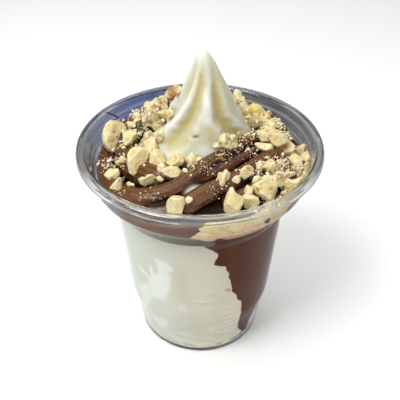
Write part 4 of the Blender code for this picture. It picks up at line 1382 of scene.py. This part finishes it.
def chunk(outline, ground, thickness, draw, stand=0.5, cuts=7):
    """A chopped piece of nut that the camera sees in that outline, lying on the ground."""
    rays = [sight(*picture_place(x, y)) for x, y in outline]
    x, y = (sum(values) / len(outline) for values in zip(*outline))
    ray = sight(*picture_place(x, y))
    for step in range(HEAP_STEPS):
        point, normal = seen_on(ground, *picture_place(x, y + HEAP_STEP * step))
        if point is not None:
            break
    if point is None:
        return None
    point = CAMERA_PLACE + ray * (point - CAMERA_PLACE).dot(VIEW_AXIS)
    facing = ((1.0 - stand) * normal - stand * VIEW_AXIS).normalized()
    reach = (point - CAMERA_PLACE).dot(VIEW_AXIS)
    size = sum((ray - sight(*picture_place(x, y))).length for ray in rays) / len(rays) * reach
    height = 2.0 * size * thickness
    middle = point + NUT_LIFT * height * normal
    for _ in range(2):
        corners = [
            CAMERA_PLACE + ray * ((middle - CAMERA_PLACE).dot(facing) / ray.dot(facing))
            for ray in rays
        ]
        hidden = 0.0
        for corner, ray in zip(corners, rays):
            _, _, _, distance = ground.ray_cast(CAMERA_PLACE, ray.normalized())
            if distance:
                hidden = max(hidden, (corner - CAMERA_PLACE).length - distance)
        middle = middle - VIEW_AXIS * min(max(hidden - NUT_HIDDEN, 0.0), NUT_SHIFT * height)
    centre = sum(corners, Vector()) / len(corners)
    tilt = Vector([draw.uniform(-NUT_TILT, NUT_TILT) for _ in range(3)])

    def place(side, ring):
        rise, scale = NUT_LAYERS[ring]
        from_centre = (corners[side] - centre) * scale
        slope = from_centre.dot(tilt) if ring == len(NUT_LAYERS) - 1 else 0.0
        return centre + from_centre + facing * (rise * height + slope)

    shape = wound(len(corners), len(NUT_LAYERS), place)
    broken(shape, cuts, facing, draw)
    return shape


def chipped(mesh, seed):
    """Roughens a nut's skin: broad dents, flats where it was cut, and a mealy grain."""
    points, normals = points_of(mesh)
    lift = []
    for point in points:
        place = Vector(point)
        broad = 0.00010 * ripple(place, 0.0024, seed)
        cut = -0.00026 * max(0.0, ripple(place, 0.0012, seed + 3.0) - 0.1)
        lift.append(broad + cut + 0.00006 * ripple(place, 0.0006, seed + 5.0))
    points += normals * np.array(lift)[:, None]
    set_points(mesh, points)


def marked(mesh):
    """Marks the browned and the golden places of the nuts in a mesh."""
    seen = in_picture(points_of(mesh)[0])
    for name, places in (("toast", TOASTED), ("golden", GOLDEN)):
        strokes = [((place,), radius, 1.0) for place, radius in places]
        set_values(mesh, name, stroked(seen, strokes))


def ice_cream_surface():
    """What nuts are laid on."""
    names = ("chocolate_ropes", "vanilla_swirl_peak")
    return tree_of(*(bpy.data.objects[name].data for name in names))


def build_large_nuts(settings):
    """The twelve large pieces of nut, each for its own solid."""
    draw = random.Random(settings.seed)
    look = nut_look("Chopped nut", settings)
    ground = ice_cream_surface()
    pieces = []
    for index, (node, thickness, stand, cuts, outline) in enumerate(LARGE_NUTS):
        shape = chunk(outline, ground, thickness, draw, stand, cuts)
        mesh = remeshed(to_mesh(shape, node), NUT_VOXEL, 1)
        chipped(mesh, 1.3 * index)
        # The hollows and edges that the nuts' painted shade and painted highlight follow.
        set_values(mesh, "cavity", cavity(mesh, 8, 0.00020))
        marked(mesh)
        pieces.append(new_piece(mesh, f"chopped_{node}", look, [node]))
    return pieces


def build_middling_nuts(settings):
    """The middling pieces of nut and the heaps of bits, as one piece."""
    draw = random.Random(settings.seed + 1)
    ground = ice_cream_surface()
    shapes = [chunk(outline, ground, thickness, draw) for thickness, outline in MIDDLING_NUTS]
    for row in LUMPS:
        outline = lump_outline(*row, draw)
        shapes.append(chunk(outline, ground, draw.uniform(0.7, 0.95), draw, 0.4, 5))
    bits = crumb_shapes(draw, 10, 3, 7)
    heap = bmesh.new()
    heap.verts.layers.float.new("shade")
    for x, y, spread, number, least, greatest in HEAPS:
        for _ in range(number):
            place = draw.gauss(x, spread / 2.2), draw.gauss(y, spread / 2.6)
            point, normal = seen_on(ground, *place)
            if point is not None:
                size = draw.uniform(least, greatest)
                laid(heap, draw.choice(bits), point, normal, size, 0.25, draw)
    for shape in bits:
        bpy.data.meshes.remove(shape)
    parts = [to_mesh(shape, "part") for shape in (*shapes, heap) if shape]
    mesh = remeshed(joined(parts, "middling"), MIDDLING_VOXEL, 1)
    chipped(mesh, 40.0)
    # The hollows and edges that the nuts' painted shade and painted highlight follow.
    set_values(mesh, "cavity", cavity(mesh, 8, 0.00022))
    marked(mesh)
    return new_piece(mesh, "middling_nuts", bpy.data.materials["Chopped nut"])


def packed_nuts(length, lowest, highest, draw):
    """Nuts packed on a flat stretch: rows of (x, height, radius, a random number)."""
    nuts = []
    for step in range(NUT_TRIES):
        size = BAND_NUT_SPAN * (1.0 - step / NUT_TRIES) ** 0.7 + BAND_NUT_LEAST
        x, z = draw.uniform(0.0, length), draw.uniform(lowest - 0.004, highest + 0.004)
        if all(math.hypot(x - nut[0], z - nut[1]) > 0.86 * (size + nut[2]) for nut in nuts):
            nuts.append((x, z, size, draw.random()))
    return np.array(nuts)


def pressed_nuts(stretch, draw):
    """Nuts packed along a stretch of the wall, how smeared they are, and how reddish."""
    first, last = stretch[0][0], stretch[-1][0]
    lows, highs = ([(row[0], row[side]) for row in stretch] for side in (1, 2))
    length = math.radians(last - first) * BAND_RADIUS
    nuts = packed_nuts(length, lows[-1][1], highs[0][1], draw)
    arc, rings = round(length / BAND_NUT_STEP), BAND_NUT_RINGS

    def place(side, ring):
        outer = side <= arc
        degrees = first + (last - first) * (side if outer else 2 * arc + 1 - side) / arc
        low, high = between(degrees, lows) - 0.0008, between(degrees, highs) + 0.0003
        height = low + (high - low) * ring / (rings - 1)
        radius = touching_radius(height) + (0.00010 if outer else -BAND_NUT_DEPTH)
        return round_to(radius, math.radians(degrees), height)

    mesh = to_mesh(wound(2 * (arc + 1), rings, place), "pressed")
    points, _ = points_of(mesh)
    around = np.hypot(points[:, 0], points[:, 1])
    x = np.radians(np.degrees(np.arctan2(points[:, 1], points[:, 0])) - first) * BAND_RADIUS
    wobble = np.array([ripples(Vector(point), BAND_NUT_RIPPLES) for point in points])
    apart = np.hypot(x[:, None] + wobble[:, None] - nuts[:, 0], points[:, 2:] - nuts[:, 1])
    apart -= nuts[:, 2]
    nearest = np.argsort(apart, axis=1)
    rows = np.arange(len(points))
    edge = apart[rows, nearest[:, 1]] - apart[rows, nearest[:, 0]]
    for index, (along, height, size, number) in enumerate(nuts):
        degrees = first + math.degrees(along / BAND_RADIUS)
        low, high = between(degrees, lows), between(degrees, highs)
        in_band = low - 0.35 * size < height < high + 0.5 * size
        if not in_band or 1.2 * size > high - low or 0.05 < number < 0.11:
            edge[nearest[:, 0] == index] = 0.0
    crease = 0.2 * (1.0 - np.clip(edge / BAND_NUT_CREASE, 0.0, 1.0)) ** 2
    crease = np.where(edge > 0.0, crease, 1.0)
    outer = around > np.array([touching_radius(z) for z in points[:, 2]]) - 0.001
    inset = np.where(outer, NUT_RELIEF * crease, 0.0)
    points[:, :2] *= ((around - inset) / around)[:, None]
    set_points(mesh, points)
    below = np.clip((BAND_NUT_MIDDLE - points[:, 2]) / 0.004, -0.4, 0.5)
    smear = 0.45 * np.clip(1.0 - edge / BAND_NUT_SMEAR, 0.0, 1.0)
    return mesh, smear, np.clip(0.55 * nuts[nearest[:, 0], 3] + below, 0.0, 1.0)


def build_wall_nuts(settings):
    """The nuts that are pressed on the inside of the band."""
    draw = random.Random(settings.seed + 3)
    parts, smears, tones = zip(*(pressed_nuts(stretch, draw) for stretch in WALL_NUTS))
    mesh = joined(parts, "wall_nuts")
    marked(mesh)
    set_values(mesh, "smear", np.concatenate(smears))
    set_values(mesh, "tone", np.concatenate(tones))
    look = nut_look("Nut at the wall", settings)
    return new_piece(mesh, "nuts_at_the_wall", look)


# ---------------------------------------------------------------- scattered crumbs


def crumb_shapes(draw, count, subdivisions, cuts):
    """A few broken crumb shapes about one across, to be laid many times."""
    made = []
    for _ in range(count):
        shape = bmesh.new()
        bmesh.ops.create_icosphere(shape, subdivisions=subdivisions, radius=0.5)
        for vertex in shape.verts:
            vertex.co *= 1.0 + draw.uniform(-0.24, 0.20)
        for _ in range(cuts):
            cut_flat(shape, any_way(draw), draw.uniform(0.20, 0.38))
        bmesh.ops.triangulate(shape, faces=shape.faces)
        made.append(to_mesh(shape, "crumb"))
    return made


def laid(whole, template, point, normal, size, sink, draw):
    """Lays one crumb on a surface, turned at random and sunk into it a little."""
    shade = whole.verts.layers.float["shade"]
    up = normal.to_track_quat("Z", "Y").to_matrix().to_4x4()
    spin = any_way(draw).to_track_quat("X", "Z").to_matrix().to_4x4()
    scale = [size * draw.uniform(*limits) for limits in CRUMB_SCALES]
    for axis in range(3):
        for row in range(3):
            spin[row][axis] *= scale[axis]
    place = up @ spin
    place.translation = point + normal * (size * sink)
    start = len(whole.verts)
    whole.from_mesh(template)
    whole.verts.ensure_lookup_table()
    tone = draw.random()
    for vertex in whole.verts[start:]:
        vertex.co = place @ vertex.co
        vertex[shade] = tone


CRUMB_PATCHES = (  # (x, y in the picture, spread in pixels, number, least and greatest size)
    (146, 119, 9, 260, 0.0005, 0.0014), (238, 145, 6, 40, 0.0003, 0.0014),
    (250, 150, 7, 30, 0.0003, 0.0014), (280, 122, 6, 110, 0.0006, 0.0019),
    (287, 135, 5, 80, 0.0006, 0.0019), (222, 158, 7, 50, 0.0003, 0.0011),
    (283, 165, 6, 70, 0.0003, 0.0012), (208, 170, 8, 34, 0.0003, 0.0010),
    (216, 190, 9, 12, 0.0003, 0.0010), (108, 165, 5, 60, 0.0003, 0.0010),
    (248, 96, 6, 70, 0.0004, 0.0010), (146, 120, 12, 420, 0.0007, 0.0021),
    (160, 106, 8, 160, 0.0006, 0.0020), (118, 165, 9, 70, 0.0004, 0.0013),
    (110, 160, 6, 40, 0.0004, 0.0011), (135, 135, 10, 40, 0.0004, 0.0010),
    (150, 150, 8, 40, 0.0004, 0.0012), (120, 190, 9, 22, 0.0004, 0.0010),
    (152, 193, 14, 30, 0.0004, 0.0010), (240, 138, 7, 34, 0.0003, 0.0012),
    (228, 150, 9, 50, 0.0003, 0.0010), (210, 163, 9, 34, 0.0003, 0.0008),
    (246, 132, 7, 50, 0.0005, 0.0016), (258, 125, 14, 320, 0.0006, 0.0022),
    (244, 103, 9, 120, 0.0005, 0.0018), (250, 101, 5, 60, 0.0004, 0.0012),
    (252, 152, 10, 30, 0.0003, 0.0010), (262, 170, 10, 90, 0.0004, 0.0015),
    (275, 166, 10, 200, 0.0005, 0.0020), (278, 176, 8, 150, 0.0005, 0.0018),
    (302, 166, 8, 200, 0.0006, 0.0022), (288, 162, 8, 70, 0.0004, 0.0012),
    (311, 152, 4, 60, 0.0005, 0.0014), (210, 190, 9, 12, 0.0004, 0.0010),
    (222, 184, 8, 12, 0.0004, 0.0010), (245, 172, 10, 36, 0.0004, 0.0011),
    (270, 200, 8, 90, 0.0004, 0.0013), (165, 120, 6, 70, 0.0006, 0.0018),
    (190, 164, 9, 40, 0.0005, 0.0014),
)


BACK_CRUMBS = (  # (angle, spread, number) of crumbs dropped on the side away from the picture
    (95, 30, 420), (150, 30, 260), (45, 20, 240), (190, 18, 90),
)
BACK_RADII = (0.016, 0.041)
DROP_HEIGHT = 0.130
LOWEST_CRUMB = 0.080
COARSE_CRUMB = 0.0010  # from that size on, crumbs have cut faces
CRUMB_SCALES = ((0.8, 1.25), (0.6, 0.95), (0.4, 0.75))  # of a crumb's three sides


def build_crumbs(settings):
    """Scatters crumbs: most on the chocolate, and few on the peak and on the large nuts."""
    draw = random.Random(settings.seed + 2)
    nuts = [
        piece.data for piece in bpy.data.objects
        if piece.name.startswith(("chopped_", "middling", "nuts_at"))
    ]
    grounds = [
        (tree_of(bpy.data.objects["chocolate_ropes"].data), 1.0),
        (tree_of(bpy.data.objects["vanilla_swirl_peak"].data), 0.04),
        (tree_of(*nuts), 0.10),
    ]
    fine = crumb_shapes(draw, 8, 1, 0)
    coarse = crumb_shapes(draw, 8, 1, 2)
    whole = bmesh.new()
    whole.verts.layers.float.new("shade")

    def drop(start, way, size, steepest):
        hits = [(*tree.ray_cast(start, way), kept) for tree, kept in grounds]
        hits = [hit for hit in hits if hit[0] is not None]
        if not hits:
            return
        point, normal, _, _, kept = min(hits, key=lambda hit: hit[3])
        if point.z > LOWEST_CRUMB and normal.z > steepest and draw.random() < kept:
            shapes = coarse if size > COARSE_CRUMB else fine
            laid(whole, draw.choice(shapes), point, normal, size, 0.22, draw)

    for x, y, spread, number, least, greatest in CRUMB_PATCHES:
        for _ in range(round(number * settings.crumbs)):
            way = sight(draw.gauss(x, spread / 1.6), draw.gauss(y, spread / 1.9)).normalized()
            size = least + (greatest - least) * draw.random() ** 3.0
            drop(CAMERA_PLACE, way, size, -0.2)
    for angle, spread, number in BACK_CRUMBS:
        for _ in range(round(number * settings.crumbs)):
            turn = math.radians(draw.gauss(angle, spread))
            start = round_to(draw.uniform(*BACK_RADII), turn, DROP_HEIGHT)
            drop(start, Vector((0, 0, -1)), 0.0005 + 0.0022 * draw.random() ** 2.0, 0.3)
    mesh = to_mesh(whole, "crumbs")
    marked(mesh)
    for shape in fine + coarse:
        bpy.data.meshes.remove(shape)
    return new_piece(mesh, "nut_crumbs", crumb_look("Nut crumbs", settings))


# ---------------------------------------------------------------- stage


def build_stage(settings):
    """The camera at the picture's angle, a pale floor and soft light."""
    scene = bpy.context.scene
    camera = bpy.data.objects.new("Camera", bpy.data.cameras.new("Camera"))
    scene.collection.objects.link(camera)
    camera.location = CAMERA_PLACE
    camera.rotation_euler = (CAMERA_TILT, 0.0, 0.0)
    camera.data.lens = CAMERA_LENS
    camera.data.sensor_width = SENSOR
    scene.camera = camera

    shape = bmesh.new()
    bmesh.ops.create_grid(shape, x_segments=8, y_segments=8, size=2.5)
    floor = bpy.data.objects.new("floor", to_mesh(shape, "floor"))
    scene.collection.objects.link(floor)
    pale = settings.floor_colour
    look, shader = new_look("Pale floor", pale, 0.8)
    tree = look.node_tree
    place = add(tree, "ShaderNodeTexCoord").outputs["Object"]
    cloud = ranged(tree, speckled(tree, place, 2.0), 0.3, 0.7)
    shade = mixed(tree, cloud, pale, [0.98 * value for value in pale])
    tree.links.new(shade, shader.inputs["Base Color"])
    floor.data.materials.append(look)

    world = bpy.data.worlds.new("Studio")
    world.use_nodes = True
    background = world.node_tree.nodes["Background"]
    background.inputs["Color"].default_value = (1.0, 1.0, 1.0, 1.0)
    background.inputs["Strength"].default_value = settings.surround
    scene.world = world
    scene.view_settings.view_transform = "Standard"
    for name, place, size, power in (
        ("Key", (-0.30, -0.22, 0.60), 0.30, settings.key),
        ("Fill", (0.55, -0.45, 0.45), 0.50, 0.45 * settings.key),
        ("Top", (0.00, 0.25, 0.90), 0.80, 1.30 * settings.key),
    ):
        lamp = bpy.data.objects.new(name, bpy.data.lights.new(name, "AREA"))
        scene.collection.objects.link(lamp)
        lamp.data.size = size
        lamp.data.energy = power
        lamp.location = place
        aim = Vector((0.0, 0.0, 0.08)) - lamp.location
        lamp.rotation_euler = aim.to_track_quat("-Z", "Y").to_euler()


# ---------------------------------------------------------------- the add-on


def colour_setting(name, description, value):
    return bpy.props.FloatVectorProperty(
        name=name, description=description, default=value, size=3, min=0.0, max=1.0,
        subtype="COLOR",
    )


def whole_setting(name, description, value, least, most):
    return bpy.props.IntProperty(
        name=name, description=description, default=value, min=least, max=most,
    )


def length_setting(name, description, value, least, most):
    return bpy.props.FloatProperty(
        name=name, description=description, default=value, min=least, max=most, precision=5,
        subtype="DISTANCE", unit="LENGTH",
    )


def share_setting(name, description, value):
    return bpy.props.FloatProperty(
        name=name, description=description, default=value, min=0.0, max=4.0, subtype="FACTOR",
    )


class CupSettings(bpy.types.PropertyGroup):
    """Sizes and finish of the clear cup."""

    sides: whole_setting("Sides", "How many flats the cup's round has", 144, 24, 256)
    tint: colour_setting("Tint", "Colour of the plastic", (0.93, 0.94, 0.95))
    # The far and side tints are painted shade, the cold tint a painted blue reflection.
    far_shade_tint: colour_setting("Far tint", "Colour of the flare's far side", (0.09, 0.09, 0.09))
    blue_reflection_tint: colour_setting("Cold tint", "Its left half", (0.085, 0.11, 0.23))
    side_tint: colour_setting("Side tint", "Colour of the flare's sides", (0.19, 0.195, 0.19))
    roughness: share_setting("Roughness", "How dull the plastic is", 0.03)


class FillingSettings(bpy.types.PropertyGroup):
    """Sizes and colours of what fills the cup."""

    sides: whole_setting("Sides", "How many flats its round has", 320, 24, 512)
    fold_depth: length_setting(
        "Fold depth", "Depth of the creases at the foot", 0.0004, 0.0, 0.001,
    )
    cool: colour_setting("Cool white", "Vanilla at the left", srgb(191, 199, 188))
    warm: colour_setting("Warm white", "Vanilla at the right", srgb(218, 209, 184))
    shaded: colour_setting("Shaded", "Vanilla in its creases", srgb(190, 180, 156))
    pour_colour: colour_setting("Pour", "Chocolate against the wall", srgb(84, 42, 14))


class SwirlSettings(bpy.types.PropertyGroup):
    """Sizes and colours of the chocolate ropes."""

    voxel: length_setting("Detail", "Finest step of the ropes' skin", 0.00051, 0.0003, 0.002)
    flute_depth: length_setting(
        "Flutes", "Depth of the fine ridges along ropes", 0.00045, 0.0, 0.001,
    )
    colour: colour_setting("Chocolate", "Colour of the ropes", srgb(76, 38, 8))
    dark: colour_setting("Dark chocolate", "Its darker patches", srgb(38, 14, 2))


class PeakSettings(bpy.types.PropertyGroup):
    """Sizes and colours of the vanilla peak."""

    lobe_sides: whole_setting("Lobe sides", "How many flats each lobe has", 36, 6, 64)
    colour: colour_setting("Vanilla", "Colour of the peak", srgb(197, 202, 188))
    warm: colour_setting("Warm vanilla", "Its warmer side", srgb(198, 192, 158))
    # The oil colour also paints the shade in the peak's grooves and hollows.
    oil: colour_setting("Oil", "Colour of the oily streaks", srgb(190, 174, 104))


class NutSettings(bpy.types.PropertyGroup):
    """Number and colours of the chopped nuts."""

    seed: whole_setting("Seed", "Changes how the nuts are broken and scattered", 5, 0, 999)
    crumbs: share_setting("Crumbs", "How many crumbs are scattered, as a share", 1.0)
    pale: colour_setting("Pale", "Freshly cut nut", srgb(215, 203, 157))
    yellow: colour_setting("Yellow", "Its yellower patches", srgb(202, 181, 112))
    toasted: colour_setting("Toasted", "Browned skin", srgb(164, 108, 34))
    golden: colour_setting("Golden", "A few yellow pieces", srgb(228, 206, 112))


class StageSettings(bpy.types.PropertyGroup):
    """Floor and light."""

    floor_colour: colour_setting("Floor", "Colour of the floor", (0.95, 0.95, 0.95))
    surround: share_setting("Surround", "Strength of the light all round", 0.26)
    key: bpy.props.FloatProperty(
        name="Key light", description="Power of the main lamp", default=3.6, min=0.0, unit="POWER",
    )


SETTINGS = (
    ("cup_settings", CupSettings),
    ("filling_settings", FillingSettings),
    ("swirl_settings", SwirlSettings),
    ("peak_settings", PeakSettings),
    ("nut_settings", NutSettings),
    ("stage_settings", StageSettings),
)


class DESSERT_OT_cup(bpy.types.Operator):
    """Turns the clear cup with its rolled rim"""

    bl_idname = "dessert.cup"
    bl_label = "Clear cup"

    def execute(self, context):
        build_cup(context.scene.cup_settings)
        return {"FINISHED"}


class DESSERT_OT_filling(bpy.types.Operator):
    """Fills the cup with vanilla, creased at its foot"""

    bl_idname = "dessert.filling"
    bl_label = "Vanilla filling"

    def execute(self, context):
        build_filling(context.scene.filling_settings)
        return {"FINISHED"}


class DESSERT_OT_pour(bpy.types.Operator):
    """Runs chocolate down between the vanilla and the wall"""

    bl_idname = "dessert.pour"
    bl_label = "Chocolate pour"

    def execute(self, context):
        build_pour(context.scene.filling_settings)
        return {"FINISHED"}


class DESSERT_OT_swirl(bpy.types.Operator):
    """Lays the fluted chocolate ropes"""

    bl_idname = "dessert.swirl"
    bl_label = "Chocolate swirl"

    def execute(self, context):
        build_swirl(context.scene.swirl_settings)
        return {"FINISHED"}


class DESSERT_OT_peak(bpy.types.Operator):
    """Draws up the lobed vanilla peak"""

    bl_idname = "dessert.peak"
    bl_label = "Vanilla peak"

    def execute(self, context):
        build_peak(context.scene.peak_settings)
        return {"FINISHED"}


class DESSERT_OT_nuts(bpy.types.Operator):
    """Breaks and lays the large and middling nuts"""

    bl_idname = "dessert.nuts"
    bl_label = "Chopped nuts"

    def execute(self, context):
        build_large_nuts(context.scene.nut_settings)
        build_middling_nuts(context.scene.nut_settings)
        build_wall_nuts(context.scene.nut_settings)
        return {"FINISHED"}


class DESSERT_OT_crumbs(bpy.types.Operator):
    """Scatters fine crumbs over the top"""

    bl_idname = "dessert.crumbs"
    bl_label = "Nut crumbs"

    def execute(self, context):
        build_crumbs(context.scene.nut_settings)
        return {"FINISHED"}


class DESSERT_OT_stage(bpy.types.Operator):
    """Sets the floor, the light and the camera"""

    bl_idname = "dessert.stage"
    bl_label = "Stage"

    def execute(self, context):
        build_stage(context.scene.stage_settings)
        return {"FINISHED"}


OPERATORS = (
    DESSERT_OT_cup,
    DESSERT_OT_filling,
    DESSERT_OT_pour,
    DESSERT_OT_swirl,
    DESSERT_OT_peak,
    DESSERT_OT_nuts,
    DESSERT_OT_crumbs,
    DESSERT_OT_stage,
)


class VIEW3D_PT_dessert(bpy.types.Panel):
    """Lists the dessert's settings and the steps that build it"""

    bl_label = "Cup of ice cream"
    bl_idname = "VIEW3D_PT_dessert"
    bl_space_type = "VIEW_3D"
    bl_region_type = "UI"
    bl_category = "Dessert"

    def draw(self, context):
        for name, group in SETTINGS:
            box = self.layout.box()
            for key in group.__annotations__:
                box.prop(getattr(context.scene, name), key)
        for operator in OPERATORS:
            self.layout.operator(operator.bl_idname)


def register():
    for name, group in SETTINGS:
        bpy.utils.register_class(group)
        setattr(bpy.types.Scene, name, bpy.props.PointerProperty(type=group))
    for made in (*OPERATORS, VIEW3D_PT_dessert):
        bpy.utils.register_class(made)


def unregister():
    for made in reversed((*OPERATORS, VIEW3D_PT_dessert)):
        bpy.utils.unregister_class(made)
    for name, group in reversed(SETTINGS):
        delattr(bpy.types.Scene, name)
        bpy.utils.unregister_class(group)


def main():
    register()
    bpy.ops.dessert.cup()
    bpy.ops.dessert.filling()
    bpy.ops.dessert.pour()
    bpy.ops.dessert.swirl()
    bpy.ops.dessert.peak()
    bpy.ops.dessert.nuts()
    bpy.ops.dessert.crumbs()
    bpy.ops.dessert.stage()


if __name__ == "__main__":
    main()
